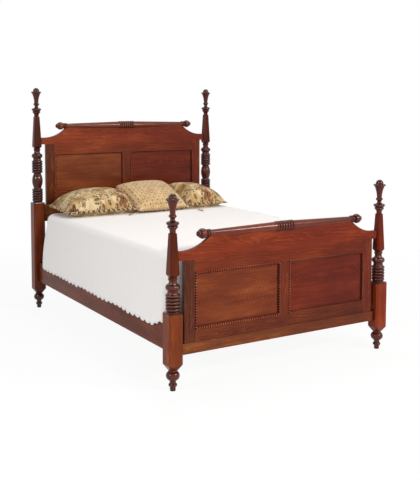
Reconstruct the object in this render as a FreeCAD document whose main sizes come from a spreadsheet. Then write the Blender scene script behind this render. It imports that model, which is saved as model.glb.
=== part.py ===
"""Spindle bed: turned posts, panelled ends under scrolled boards and blanket rolls, hooked side rails,
slats with centre legs on screw levellers, and its bedding.

Millimetres. +X is to the right and +Y towards the head, seen from the foot; +Z is up.
The origin is on the floor, in the middle of the bed.
"""
import FreeCAD, Part
import math
import os

import Sketcher

V = FreeCAD.Vector
UP = V(0, 0, 1)

# Driving dimensions: alias and value. Each one is written once, here.
SIZES = (
    # Room round the mattress, from the side rails and from the end frames
    ("mattress_side_gap", 18),
    ("mattress_end_gap", 71),
    # Posts' square blocks
    ("block_half", 47.5),
    ("block_chamfer", 12),
    ("block_top_bevel", 4),
    ("foot_block_length", 304),
    ("head_block_length", 702),
    ("bevel_length", 33),
    ("bevel_end_half", 25),
    ("bevel_end_chamfer", 6),
    ("core_radius", 19),
    # Turned foot below the block, from the floor up
    ("pad_length", 24),
    ("pad_radius", 16.5),
    ("pad_top_radius", 18),
    ("foot_bead_length", 20),
    ("foot_bead_radius", 26),
    ("foot_neck_length", 18),
    ("foot_neck_radius", 19),
    ("ball_length", 54),
    ("ball_radius", 41),
    ("ball_end_radius", 22),
    ("collar_length", 8),
    ("collar_radius", 26.5),
    # Ring stack above the block
    ("shoulder_length", 10),
    ("shoulder_radius", 42),
    ("ring_count", 5),
    ("ring_pitch", 20),
    ("ring_radius", 43.5),
    ("ring_groove_radius", 34.5),
    # The head post's extra vase and second ring stack
    ("vase_neck_length", 16),
    ("vase_neck_radius", 31),
    ("vase_length", 96),
    ("vase_radius", 42.5),
    ("vase_end_radius", 33),
    ("vase_top_neck_length", 15),
    ("vase_top_neck_radius", 30),
    # Bulb and bead under the eight-sided shaft
    ("bulb_neck_length", 20),
    ("bulb_neck_radius", 31.5),
    ("bulb_length", 37),
    ("bulb_radius", 43.5),
    ("bulb_end_radius", 27),
    ("slim_neck_length", 22),
    ("slim_neck_radius", 23.5),
    ("shaft_bead_length", 13),
    ("shaft_bead_radius", 28),
    ("shaft_seat_length", 6),
    ("shaft_seat_radius", 24),
    # Eight-sided tapered shaft
    ("shaft_length", 252),
    ("shaft_foot_length", 15),
    ("shaft_foot_half", 22.5),
    ("shaft_half", 32.5),
    ("shaft_top_half", 20.5),
    # Finial
    ("cup_neck_length", 19),
    ("cup_neck_radius", 18),
    ("cup_flare_length", 12),
    ("cup_flare_radius", 28),
    ("cup_bead_length", 12),
    ("cup_bead_radius", 31.5),
    ("disc_rise_length", 8),
    ("disc_edge_radius", 34.5),
    ("disc_length", 14),
    ("disc_radius", 38.5),
    ("disc_fall_length", 6),
    ("disc_fall_radius", 19),
    ("finial_neck_length", 19),
    ("finial_neck_radius", 14),
    ("finial_ring_length", 18),
    ("finial_ring_radius", 23.5),
    ("finial_ring_end_radius", 16.5),
    ("urn_length", 79),
    ("urn_middle_radius", 21),
    ("urn_top_radius", 34),
    ("rim_length", 13),
    ("rim_radius", 40.5),
    ("dome_length", 29),
    ("dome_radius", 25),
    # End frames
    ("frame_thick", 26),
    ("cross_rail_thick", 32),
    ("foot_cross_bottom", 204),
    ("foot_cross_height", 65),
    ("head_cross_bottom", 703),
    ("head_cross_height", 135),
    ("post_to_stile_gap", 23),
    ("stile_width", 73),
    ("muntin_width", 66),
    ("foot_bottom_rail_width", 74),
    ("head_bottom_rail_width", 87),
    ("foot_panel_height", 340),
    ("head_panel_height", 324),
    ("top_rail_width", 75),
    ("panel_thick", 10),
    ("panel_setback", 9),
    ("groove_depth", 10),
    ("tenon_thick", 12),
    ("tenon_length", 28),
    ("tenon_shoulder", 10),
    ("fit", 0.2),
    # Bead moulding round each panel
    ("moulding_width", 17),
    ("moulding_lip", 4),
    ("moulding_step", 11.5),
    ("moulding_foot", 6.5),
    ("moulding_crown", 12.5),
    # Scroll boards and blanket rolls
    ("scroll_end_height", 54),
    ("scroll_rise", 79),
    ("scroll_flat", 36),
    ("cusp_inset", 249),
    ("scroll_tenon_height", 30),
    ("scroll_tenon_length", 20),
    ("roll_lift", 12.5),
    ("roll_groove_spare", 12),
    ("roll_overhang", 89),
    ("roll_dome_length", 22),
    ("roll_dome_radius", 19),
    ("roll_acorn_length", 38),
    ("roll_acorn_radius", 31),
    ("roll_acorn_end_radius", 25),
    ("roll_neck_length", 6),
    ("roll_neck_radius", 17),
    ("roll_bead_length", 15),
    ("roll_bead_radius", 23.5),
    ("roll_shaft_end_radius", 18),
    ("roll_shaft_radius", 29),
    ("roll_ring_pitch", 20),
    ("roll_ring_radius", 33),
    ("roll_ring_groove_radius", 24.5),
    ("roll_ring_count", 7),
    ("dowel_radius", 5),
    ("dowel_depth", 22),
    ("roll_dowel_radius", 4),
    ("roll_dowel_above", 12),
    ("roll_dowel_end_margin", 66),
    ("dowel_to_stile", 51.5),
    # Side rails, hooks and ledgers
    ("rail_thick", 30),
    ("rail_height", 152),
    ("rail_bottom", 224),
    ("rail_out", 15),
    ("plate_thick", 4),
    ("plate_width", 22),
    ("plate_height", 112),
    ("hook_thick", 3),
    ("hook_reach", 13),
    ("hook_height", 26),
    ("hook_neck_height", 12),
    ("hook_offset", 30),
    ("slot_clearance", 1),
    ("plate_screw_radius", 2),
    ("plate_screw_length", 24),
    ("plate_screw_offset", 49),
    ("ledger_width", 25),
    ("ledger_height", 32),
    ("ledger_inset", 2),
    ("ledger_end_gap", 60),
    ("screw_radius", 2.5),
    ("screw_head_radius", 5),
    ("screw_head_length", 3),
    ("ledger_screw_length", 42),
    ("ledger_screw_spacing", 480),
    # Slats and centre legs
    ("slat_count", 5),
    ("slat_width", 90),
    ("slat_thick", 19),
    ("slat_end_margin", 136),
    ("slat_end_gap", 4),
    ("slat_screw_length", 35),
    ("leg_side", 45),
    ("leg_screw_length", 70),
    ("insert_radius", 7),
    ("insert_length", 14),
    ("rod_radius", 4),
    ("rod_length", 46),
    ("rod_clearance", 0.05),
    ("glide_radius", 14),
    ("glide_base_radius", 12.6),
    ("glide_cone_radius", 6.4),
    ("glide_length", 9),
    ("glide_rim_length", 3),
    ("leveller_travel", 12),
    ("leg_bore_spare", 6),
    # Bedding
    ("soft_gap", 0.3),
    ("mattress_width", 1524),
    ("mattress_length", 2032),
    ("box_spring_height", 229),
    ("box_spring_corner", 45),
    ("mattress_height", 260),
    ("mattress_corner", 60),
    ("mattress_edge", 42),
    ("coverlet_thick", 5),
    ("coverlet_overhang", 5),
    ("coverlet_hang", 3),
    ("coverlet_corner", 70),
    ("coverlet_head_corner", 38),
    ("coverlet_edge", 32),
    ("coverlet_side_lap", 19),
    ("coverlet_foot_flare", 24),
    ("coverlet_head_drop", 70),
    ("pillow_width", 690),
    ("pillow_depth", 455),
    ("pillow_rise", 136),
    ("pillow_fall", 62),
    ("pillow_seam_height", 58),
    ("pillow_tilt", 3),
    ("pillow_seam", 7),
    ("pillow_middle_gap", 95),
    ("pillow_headboard_gap", 22),
    ("throw_width", 505),
    ("throw_depth", 440),
    ("throw_rise", 78),
    ("throw_fall", 62),
    ("throw_tilt", 25),
    ("throw_turn", 5),
    ("throw_forward", 790),
    ("throw_aside", 80),
    ("throw_lift", 118),
    ("tassel_length", 60),
    ("tassel_radius", 8),
    ("tassel_neck_radius", 4),
    ("tassel_cord_radius", 2),
    ("tassel_left_cord", 35),
    ("tassel_left_bearing", 185),
    ("tassel_right_cord", 85),
    ("tassel_right_bearing", -73),
)

document = FreeCAD.newDocument("SpindleBed")
sheet = document.addObject("Spreadsheet::Sheet", "Sizes")
for row, (alias, number) in enumerate(SIZES, start=1):
    sheet.set(f"A{row}", alias)
    sheet.set(f"B{row}", str(number))
    sheet.setAlias(f"B{row}", alias)
document.recompute()


class Size:
    """A length with its formula in the sheet, for expressions, and its present value, for shapes."""

    def __init__(self, formula, value):
        self.formula = formula
        self.value = value

    def joined(self, sign, other, value):
        return Size(f"({self.formula} {sign} {formula_of(other)})", value)

    def __add__(self, other):
        return self.joined("+", other, self.value + value_of(other))

    def __sub__(self, other):
        return self.joined("-", other, self.value - value_of(other))

    def __mul__(self, other):
        return self.joined("*", other, self.value * value_of(other))

    def __truediv__(self, other):
        return self.joined("/", other, self.value / value_of(other))

    def __neg__(self):
        return self * -1


def formula_of(size):
    return size.formula if isinstance(size, Size) else f"({size})"


def value_of(size):
    return size.value if isinstance(size, Size) else float(size)


size = {alias: Size(f"Sizes.{alias}", float(sheet.get(alias))) for alias, number in SIZES}
SIDES = {"left": -1, "right": 1}
ENDS = {"foot": -1, "head": 1}
rail_inner = size["mattress_width"] / 2 + size["mattress_side_gap"]
rail_outer = rail_inner + size["rail_thick"]
rail_middle = rail_inner + size["rail_thick"] / 2
post_x = rail_outer - size["rail_out"]
post_y = size["mattress_length"] / 2 + size["mattress_end_gap"] + size["frame_thick"] / 2
block_half = size["block_half"]


# Features

def bind(feature, **formulas):
    for prop, value in formulas.items():
        feature.setExpression(prop, formula_of(value))


def place(feature, x=0, y=0, z=0):
    for axis, value in zip("xyz", (x, y, z)):
        feature.setExpression(f"Placement.Base.{axis}", formula_of(value))
    return feature


def box(name, lengths, corner):
    """A block of three lengths from its lowest corner."""
    feature = document.addObject("Part::Box", name)
    bind(feature, Length=lengths[0], Width=lengths[1], Height=lengths[2])
    return place(feature, *corner)


def rod(name, radius, length, foot, direction=UP):
    """A round bar from the middle of its foot, along a direction."""
    feature = document.addObject("Part::Cylinder", name)
    bind(feature, Radius=radius, Height=length)
    feature.Placement.Rotation = FreeCAD.Rotation(UP, direction)
    return place(feature, *foot)


def joined(name, parts):
    feature = document.addObject("Part::MultiFuse", name)
    feature.Shapes = parts
    feature.Refine = True
    return feature


def grouped(name, parts):
    feature = document.addObject("Part::Compound", name)
    feature.Links = parts
    return feature


def cut(name, base, tools):
    feature = document.addObject("Part::Cut", name)
    feature.Base = base
    feature.Tool = tools[0] if len(tools) == 1 else grouped(name + "_tools", tools)
    return feature


def wire(name, edges):
    feature = document.addObject("Part::Feature", name)
    feature.Shape = Part.Wire(edges)
    return feature


def lofted(name, sections, ruled=True):
    feature = document.addObject("Part::Loft", name)
    feature.Sections = sections
    feature.Solid = True
    feature.Ruled = ruled
    return feature


def extruded(name, outline, direction, length):
    feature = document.addObject("Part::Extrusion", name)
    feature.Base = outline
    feature.Dir = direction
    feature.DirMode = "Custom"
    feature.Solid = True
    bind(feature, LengthFwd=length)
    return feature


subparts = []


def keep(feature, label):
    """Names a finished feature as one sub-part of the bed."""
    feature.Label = label
    subparts.append(feature)
    return feature


# Turnings

def line(start, end):
    return Part.LineSegment(start, end).toShape()


def arc(start, middle, end):
    return Part.Arc(start, middle, end).toShape()


def turned(name, start_height, start_radius, steps, axis=UP):
    """A turning from its half outline. Each step climbs to an end radius, straight or, where it has a middle
    radius, in an arc: a bead or vase if that is wider, a cove or neck if it is narrower."""
    height, radius = value_of(start_height), value_of(start_radius)
    foot = V(0, 0, height)
    edges = []
    if radius > 0:
        edges.append(line(foot, V(radius, 0, height)))
    for length, middle, end in steps:
        climb, end_radius = value_of(length), value_of(end)
        start, finish = V(radius, 0, height), V(end_radius, 0, height + climb)
        if middle is not None:
            edges.append(arc(start, V(value_of(middle), 0, height + climb / 2), finish))
        elif start.distanceToPoint(finish) > 0:
            edges.append(line(start, finish))
        height, radius = height + climb, end_radius
    if radius > 0:
        edges.append(line(V(radius, 0, height), V(0, 0, height)))
    edges.append(line(V(0, 0, height), foot))
    outline = wire(name + "_outline", edges)
    feature = document.addObject("Part::Revolution", name)
    feature.Source = outline
    feature.Axis = UP
    feature.Angle = 360
    feature.Solid = True
    feature.Placement.Rotation = FreeCAD.Rotation(UP, axis)
    return feature


def step(name, end, middle=None):
    """One step of a turning: its length and middle radius are sizes of the same name."""
    return (size[name + "_length"], middle, end)


def faceted_ring(name, half, chamfer, height):
    """A level square of half-width half, with its four corners cut off by chamfer."""
    half, chamfer, height = value_of(half), value_of(chamfer), value_of(height)
    near = half - chamfer
    corners = [(half, -near), (half, near), (near, half), (-near, half),
               (-half, near), (-half, -near), (-near, -half), (near, -half)]
    points = [V(x, y, height) for x, y in corners]
    return wire(name, [line(a, b) for a, b in zip(points, points[1:] + points[:1])])


def total(steps):
    height = Size("0", 0.0)
    for length, middle, end in steps:
        height = height + length
    return height


def dome_middle(length, radius):
    """The radius halfway up a dome whose arc has its centre on the turning's axis."""
    return Size(f"sqrt({(radius * radius / 2 + length * length / 4).formula})",
                math.sqrt(value_of(radius) ** 2 / 2 + value_of(length) ** 2 / 4))


foot_steps = [
    step("pad", size["pad_top_radius"]),
    step("foot_bead", size["foot_neck_radius"], size["foot_bead_radius"]),
    step("foot_neck", size["ball_end_radius"], size["foot_neck_radius"]),
    step("ball", size["ball_end_radius"], size["ball_radius"]),
    (0, None, size["collar_radius"]),
    step("collar", size["collar_radius"]),
    (0, None, size["core_radius"]),
]
ring_stack = [(size["ring_pitch"], size["ring_radius"], size["ring_groove_radius"])
              for ring in range(int(size["ring_count"].value))]
shoulder_steps = [
    (0, None, size["shoulder_radius"]),
    step("shoulder", size["ring_groove_radius"]),
]
vase_steps = [
    step("vase_neck", size["vase_end_radius"], size["vase_neck_radius"]),
    step("vase", size["vase_end_radius"], size["vase_radius"]),
    step("vase_top_neck", size["ring_groove_radius"], size["vase_top_neck_radius"]),
]
bulb_steps = [
    step("bulb_neck", size["vase_end_radius"], size["bulb_neck_radius"]),
    step("bulb", size["bulb_end_radius"], size["bulb_radius"]),
    step("slim_neck", size["shaft_seat_radius"], size["slim_neck_radius"]),
    step("shaft_bead", size["shaft_seat_radius"], size["shaft_bead_radius"]),
    step("shaft_seat", size["shaft_seat_radius"]),
]
finial_steps = [
    step("cup_neck", size["disc_fall_radius"], size["cup_neck_radius"]),
    step("cup_flare", size["cup_flare_radius"]),
    step("cup_bead", size["cup_flare_radius"], size["cup_bead_radius"]),
    step("disc_rise", size["disc_edge_radius"]),
    step("disc", size["disc_edge_radius"], size["disc_radius"]),
    step("disc_fall", size["disc_fall_radius"]),
    step("finial_neck", size["finial_ring_end_radius"], size["finial_neck_radius"]),
    step("finial_ring", size["finial_ring_end_radius"], size["finial_ring_radius"]),
    step("urn", size["urn_top_radius"], size["urn_middle_radius"]),
    step("rim", size["urn_top_radius"], size["rim_radius"]),
    (0, None, size["dome_radius"]),
    step("dome", 0, dome_middle(size["dome_length"], size["dome_radius"])),
]
POST_TURNING = {
    "foot": shoulder_steps + ring_stack + bulb_steps,
    "head": shoulder_steps + ring_stack + vase_steps + ring_stack + bulb_steps,
}
block_bottom = total(foot_steps)
block_start = block_bottom + size["bevel_length"]
EIGHT_SIDED = 2 - math.sqrt(2)


def block_top(end):
    return block_start + size[end + "_block_length"]


def shaft_bottom(end):
    return block_top(end) + total(POST_TURNING[end])


def shaft_half_at(end, height):
    """Half the width across the flats of the shaft at a height on its taper."""
    taper_start = shaft_bottom(end) + size["shaft_foot_length"]
    taper_length = size["shaft_length"] - size["shaft_foot_length"]
    narrowing = (size["shaft_half"] - size["shaft_top_half"]) / taper_length
    return size["shaft_half"] - (height - taper_start) * narrowing


# Heights of the two end frames, and what the side rails hang on

frame_bottom = {end: size[end + "_cross_bottom"] + size[end + "_cross_height"] for end in ENDS}
panel_bottom = {end: frame_bottom[end] + size[end + "_bottom_rail_width"] for end in ENDS}
panel_top = {end: panel_bottom[end] + size[end + "_panel_height"] for end in ENDS}
frame_top = {end: panel_top[end] + size["top_rail_width"] for end in ENDS}
scroll_end_top = {end: frame_top[end] + size["scroll_end_height"] for end in ENDS}
scroll_top = {end: scroll_end_top[end] + size["scroll_rise"] for end in ENDS}
stile_outer = post_x - block_half - size["post_to_stile_gap"]
stile_inner = stile_outer - size["stile_width"]
muntin_half = size["muntin_width"] / 2
cusp_half_span = post_x - size["cusp_inset"]
roll_half_length = cusp_half_span + size["roll_overhang"]
rail_mid_height = size["rail_bottom"] + size["rail_height"] / 2
block_inner_y = post_y - block_half


def inward(sign, reach, length):
    """Lowest coordinate of a length that starts at reach on the inner side of a post and goes into it."""
    return reach - length if sign < 0 else -reach


def post_socket(name, side, end, reach, depth, width, height, middle):
    """A socket in a post's inner side, in the post's own axes."""
    return box(name, (depth, width, height),
               (inward(side, reach, depth), -width / 2, middle - height / 2))


def post(side_name, end):
    side, along = SIDES[side_name], ENDS[end]
    name = f"{end}_post_{side_name}"
    core = [(size["bevel_length"] + size[end + "_block_length"], None, size["core_radius"])]
    shaft_core = [(0, None, size["core_radius"]), (size["shaft_length"], None, size["core_radius"]),
                  (0, None, size["disc_fall_radius"])]
    steps = foot_steps + core + POST_TURNING[end] + shaft_core + finial_steps
    spindle = turned(name + "_turning", 0, size["pad_radius"], steps)
    top = block_top(end)
    block = lofted(name + "_block", [
        faceted_ring(name + "_bevel_end", size["bevel_end_half"], size["bevel_end_chamfer"], block_bottom),
        faceted_ring(name + "_block_start", block_half, size["block_chamfer"], block_start),
        faceted_ring(name + "_block_end", block_half, size["block_chamfer"], top - size["block_top_bevel"]),
        faceted_ring(name + "_block_top", block_half - size["block_top_bevel"], size["block_chamfer"], top),
    ])
    foot, full, tip = size["shaft_foot_half"], size["shaft_half"], size["shaft_top_half"]
    low = shaft_bottom(end)
    shaft = lofted(name + "_shaft", [
        faceted_ring(name + "_shaft_foot", foot, foot * (EIGHT_SIDED / 2), low),
        faceted_ring(name + "_shaft_full", full, full * (EIGHT_SIDED / 2), low + size["shaft_foot_length"]),
        faceted_ring(name + "_shaft_tip", tip, tip * (EIGHT_SIDED / 2), low + size["shaft_length"]),
    ])
    solid = joined(name + "_solid", [spindle, block, shaft])
    spare = size["fit"] * 2
    cross_middle = size[end + "_cross_bottom"] + size[end + "_cross_height"] / 2
    cross_socket = post_socket(name + "_cross_socket", side, end, block_half, size["tenon_length"] + spare,
                               size["tenon_thick"] + spare,
                               size[end + "_cross_height"] - size["tenon_shoulder"] * 2 + spare, cross_middle)
    scroll_middle = frame_top[end] + size["scroll_end_height"] / 2
    scroll_reach = shaft_half_at(end, scroll_middle)
    scroll_slack = size["scroll_end_height"] / 2
    scroll_depth = size["scroll_tenon_length"] + scroll_slack
    scroll_socket = box(name + "_scroll_socket",
                        (scroll_depth, size["tenon_thick"] + spare, size["scroll_tenon_height"] + spare),
                        (inward(side, scroll_reach + scroll_slack - spare, scroll_depth),
                         -(size["tenon_thick"] + spare) / 2,
                         scroll_middle - (size["scroll_tenon_height"] + spare) / 2))
    plate = box(name + "_plate_recess",
                (size["plate_width"], size["plate_thick"], size["plate_height"]),
                (-size["plate_width"] / 2 + (size["rail_out"] - size["rail_thick"] / 2) * side,
                 inward(along, block_half, size["plate_thick"]),
                 rail_mid_height - size["plate_height"] / 2))
    solid = cut(name + "_mortised", solid, [cross_socket, scroll_socket, plate])
    pockets = [box(f"{name}_hook_pocket_{place_name}",
                   (size["hook_thick"] + size["slot_clearance"] * 2,
                    size["hook_reach"] + size["plate_thick"] + size["slot_clearance"],
                    size["hook_height"] + size["slot_clearance"] * 2),
                   (-(size["hook_thick"] + size["slot_clearance"] * 2) / 2
                    + (size["rail_out"] - size["rail_thick"] / 2) * side,
                    inward(along, block_half, size["hook_reach"] + size["plate_thick"] + size["slot_clearance"]),
                    rail_mid_height + size["hook_offset"] * level - size["hook_height"] / 2
                    - size["slot_clearance"]))
               for place_name, level in (("low", -1), ("high", 1))]
    screws = [rod(f"{name}_screw_hole_{place_name}", size["plate_screw_radius"],
                  size["plate_screw_length"],
                  ((size["rail_out"] - size["rail_thick"] / 2) * side, -block_half * along,
                   rail_mid_height + size["plate_screw_offset"] * level), V(0, along, 0))
              for place_name, level in (("low", -1), ("high", 1))]
    keep(place(cut(name, solid, pockets + screws), post_x * side, post_y * along), name)


# End frames

def frame_board(name, end, x, z, width, height, thick=None, extra=(), holes=()):
    """A board in an end frame's plane, from its lowest corner; extra pieces join it and holes are cut from it."""
    thick = size["frame_thick"] if thick is None else thick
    board = box(name + "_board", (width, thick, height), (x, post_y * ENDS[end] - thick / 2, z))
    if extra:
        board = joined(name + "_tenoned", [board] + list(extra))
    return cut(name, board, list(holes)) if holes else board


def tongue(name, end, x, z, width, height, spare=0):
    """A tenon in the plane of the panels, larger all round by spare where it is the mortise's cutter."""
    thick = size["panel_thick"] + spare * 2 if spare else size["panel_thick"]
    corner = (x - spare, panel_face(end) - spare, z - spare) if spare else (x, panel_face(end), z)
    grown = (width + spare * 2, thick, height + spare * 2) if spare else (width, thick, height)
    return box(name, grown, corner)


def panel_face(end):
    """The face of the panels that looks towards the foot."""
    return post_y * ENDS[end] - size["frame_thick"] / 2 + size["panel_setback"]


def panel_box(name, side, end, spare=0):
    """A panel with its edges in the grooves, or the cutter of those grooves."""
    reach = size["groove_depth"] - size["fit"] * 4
    width = stile_inner - muntin_half + reach * 2
    low_x = muntin_half - reach if side > 0 else -(stile_inner + reach)
    return tongue(name, end, low_x, panel_bottom[end] - reach, width,
                  size[end + "_panel_height"] + reach * 2, spare)


def rail_tenons(name, end, low, width, spare=0):
    """The two end tenons of a frame rail, or the cutters of their mortises."""
    height = width - size["tenon_shoulder"] * 2
    return [tongue(f"{name}_{side_name}", end,
                   stile_inner if side > 0 else -(stile_inner + size["tenon_length"]),
                   low + size["tenon_shoulder"], size["tenon_length"], height, spare)
            for side_name, side in SIDES.items()]


def muntin_tongues(name, end, spare=0):
    """The muntin's stub tenons, low and high, or the cutters of their mortises."""
    width = size["muntin_width"] - size["tenon_shoulder"] * 2
    reach = size["groove_depth"]
    return [tongue(f"{name}_{place_name}", end, -width / 2, z, width, reach, spare)
            for place_name, z in (("low", panel_bottom[end] - reach), ("high", panel_top[end]))]


def dowels(name, end, joint, spacing, radius, below, above):
    """Four dowels across a level joint of an end."""
    return [rod(f"{name}_{place_name}", radius, below + above,
                (spacing * place_step, post_y * ENDS[end], joint - below))
            for place_name, place_step in (("a", -1.5), ("b", -0.5), ("c", 0.5), ("d", 1.5))]


def joint_dowels(name, end, spare=0):
    """The dowels under and over an end frame, all between its stiles."""
    spacing = (stile_inner - size["dowel_to_stile"]) * 2 / 3
    radius, depth = size["dowel_radius"] + spare, size["dowel_depth"] + spare
    return (dowels(f"{name}_low", end, frame_bottom[end], spacing, radius, depth, depth),
            dowels(f"{name}_high", end, frame_top[end], spacing, radius, depth, depth))


def roll_dowel_set(name, end, spare=0):
    """The dowels from the scroll board up into the roll, all between the board's two cusps."""
    spacing = (cusp_half_span - size["roll_dowel_end_margin"]) * 2 / 3
    return dowels(name, end, scroll_top[end], spacing, size["roll_dowel_radius"] + spare,
                  size["dowel_depth"] + spare, size["roll_dowel_above"] + spare)


def cross_rail(end):
    name = f"{end}_cross_rail"
    low, height = size[end + "_cross_bottom"], size[end + "_cross_height"]
    half = post_x - block_half
    tenon_height = height - size["tenon_shoulder"] * 2
    tenons = [box(f"{name}_tenon_{side_name}", (size["tenon_length"], size["tenon_thick"], tenon_height),
                  (half if side > 0 else -(half + size["tenon_length"]),
                   post_y * ENDS[end] - size["tenon_thick"] / 2, low + size["tenon_shoulder"]))
              for side_name, side in SIDES.items()]
    holes = joint_dowels(name + "_hole", end, size["fit"])[0]
    keep(frame_board(name, end, -half, low, half * 2, height, size["cross_rail_thick"], tenons, holes), name)


def end_frame(end):
    """Stiles, rails, muntin and panels."""
    fit = size["fit"]
    low, high = frame_bottom[end], frame_top[end]
    bottom_width = size[end + "_bottom_rail_width"]

    for side_name, side in SIDES.items():
        name = f"{end}_stile_{side_name}"
        tools = [panel_box(name + "_groove", side, end, fit),
                 rail_tenons(name + "_low_mortise", end, low, bottom_width, fit)[max(side, 0)],
                 rail_tenons(name + "_high_mortise", end, panel_top[end], size["top_rail_width"], fit)[max(side, 0)]]
        x = stile_inner if side > 0 else -stile_outer
        keep(frame_board(name, end, x, low, size["stile_width"], high - low, holes=tools), name)

    for name, z, width, hole_set in (
            (f"{end}_bottom_rail", low, bottom_width, 0),
            (f"{end}_top_rail", panel_top[end], size["top_rail_width"], 1)):
        tools = [panel_box(f"{name}_groove_{side_name}", side, end, fit) for side_name, side in SIDES.items()]
        tools += muntin_tongues(name + "_muntin_mortise", end, fit)
        tools += joint_dowels(name + "_hole", end, fit)[hole_set]
        keep(frame_board(name, end, -stile_inner, z, stile_inner * 2, width,
                         extra=rail_tenons(name + "_tenon", end, z, width), holes=tools), name)

    name = f"{end}_muntin"
    tools = [panel_box(f"{name}_groove_{side_name}", side, end, fit) for side_name, side in SIDES.items()]
    keep(frame_board(name, end, -muntin_half, panel_bottom[end], size["muntin_width"],
                     size[end + "_panel_height"], extra=muntin_tongues(name + "_tongue", end), holes=tools), name)

    for side_name, side in SIDES.items():
        keep(panel_box(f"{end}_panel_{side_name}", side, end), f"{end}_panel_{side_name}")


def moulding_stick(length, turn, corner, origin):
    """One mitred stick of a panel's bead moulding. It lies along +X from the corner before it is turned."""
    width, lip, stepped, foot, crown = (size["moulding_" + key].value
                                        for key in ("width", "lip", "step", "foot", "crown"))
    section = Part.Wire([
        line(V(0, 0, 0), V(0, 0, width)),
        line(V(0, 0, width), V(0, -lip, width)),
        line(V(0, -lip, width), V(0, -foot, stepped)),
        arc(V(0, -foot, stepped), V(0, -crown, stepped / 2), V(0, -foot, 0)),
        line(V(0, -foot, 0), V(0, 0, 0)),
    ])
    bar = Part.Face(section).extrude(V(length, 0, 0))
    mitre = [V(0, 0, 0), V(length, 0, 0), V(length - width, 0, width), V(width, 0, width)]
    trim = Part.Face(Part.makePolygon(mitre + mitre[:1])).extrude(V(0, -2 * crown, 0))
    stick = bar.common(trim)
    stick.Placement = FreeCAD.Placement(corner + origin, FreeCAD.Rotation(V(0, -1, 0), turn))
    return stick


def panel_moulding(side_name, end):
    """Four mitred sticks in the recess of a panel, on the side that looks towards the foot."""
    side = SIDES[side_name]
    name = f"{end}_moulding_{side_name}"
    width = (stile_inner - muntin_half).value
    height = size[end + "_panel_height"].value
    low_x = muntin_half.value if side > 0 else -stile_inner.value
    origin = V(low_x, panel_face(end).value, panel_bottom[end].value)
    sticks = [moulding_stick(width, 0, V(0, 0, 0), origin),
              moulding_stick(height, 90, V(width, 0, 0), origin),
              moulding_stick(width, 180, V(width, 0, height), origin),
              moulding_stick(height, 270, V(0, 0, height), origin)]
    feature = document.addObject("Part::Feature", name)
    feature.Shape = Part.makeCompound(sticks)
    keep(feature, name)


def scroll_outline(end):
    """The scroll board's outline: ends fitted to the posts' taper, swept up in an arc to a cusp each side."""
    low, end_top, top = (heights[end].value for heights in (frame_top, scroll_end_top, scroll_top))
    low_x = (post_x - shaft_half_at(end, frame_top[end])).value
    high_x = (post_x - shaft_half_at(end, scroll_end_top[end])).value
    arc_x = high_x - size["scroll_flat"].value
    cusp_x = cusp_half_span.value
    run, rise = arc_x - cusp_x, top - end_top
    radius = (run * run + rise * rise) / (2 * rise)
    half_sweep = math.atan2(run, radius - rise) / 2
    middle = V(arc_x - radius * math.sin(half_sweep), 0, end_top + radius * (1 - math.cos(half_sweep)))
    right = [V(low_x, 0, low), V(high_x, 0, end_top), V(arc_x, 0, end_top), V(cusp_x, 0, top)]
    left = [V(-point.x, 0, point.z) for point in right]
    return wire(f"{end}_scroll_outline", [
        line(left[0], right[0]),
        line(right[0], right[1]),
        line(right[1], right[2]),
        arc(right[2], middle, right[3]),
        line(right[3], left[3]),
        arc(left[3], V(-middle.x, 0, middle.z), left[2]),
        line(left[2], left[1]),
        line(left[1], left[0]),
    ])


def scroll_board(end):
    name = f"{end}_scroll_board"
    board = extruded(name + "_blank", scroll_outline(end), V(0, 1, 0), size["frame_thick"])
    place(board, 0, post_y * ENDS[end] - size["frame_thick"] / 2, 0)
    middle = frame_top[end] + size["scroll_end_height"] / 2
    half = post_x - shaft_half_at(end, middle)
    root = size["scroll_end_height"] / 2
    length = size["scroll_tenon_length"] + root
    tenons = [box(f"{name}_tenon_{side_name}",
                  (length, size["tenon_thick"], size["scroll_tenon_height"]),
                  (half - root if side > 0 else -(half + size["scroll_tenon_length"]),
                   post_y * ENDS[end] - size["tenon_thick"] / 2, middle - size["scroll_tenon_height"] / 2))
              for side_name, side in SIDES.items()]
    holes = joint_dowels(name + "_hole", end, size["fit"])[1] + roll_dowel_set(name + "_roll_hole", end, size["fit"])
    keep(cut(name, joined(name + "_tenoned", [board] + tenons), holes), name)


def reversed_steps(start, steps):
    """The same steps walked back, for the mirrored half of a turning."""
    starts = [start] + [end for length, middle, end in steps[:-1]]
    return [(length, middle, begin) for (length, middle, end), begin in zip(reversed(steps), reversed(starts))]


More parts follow.
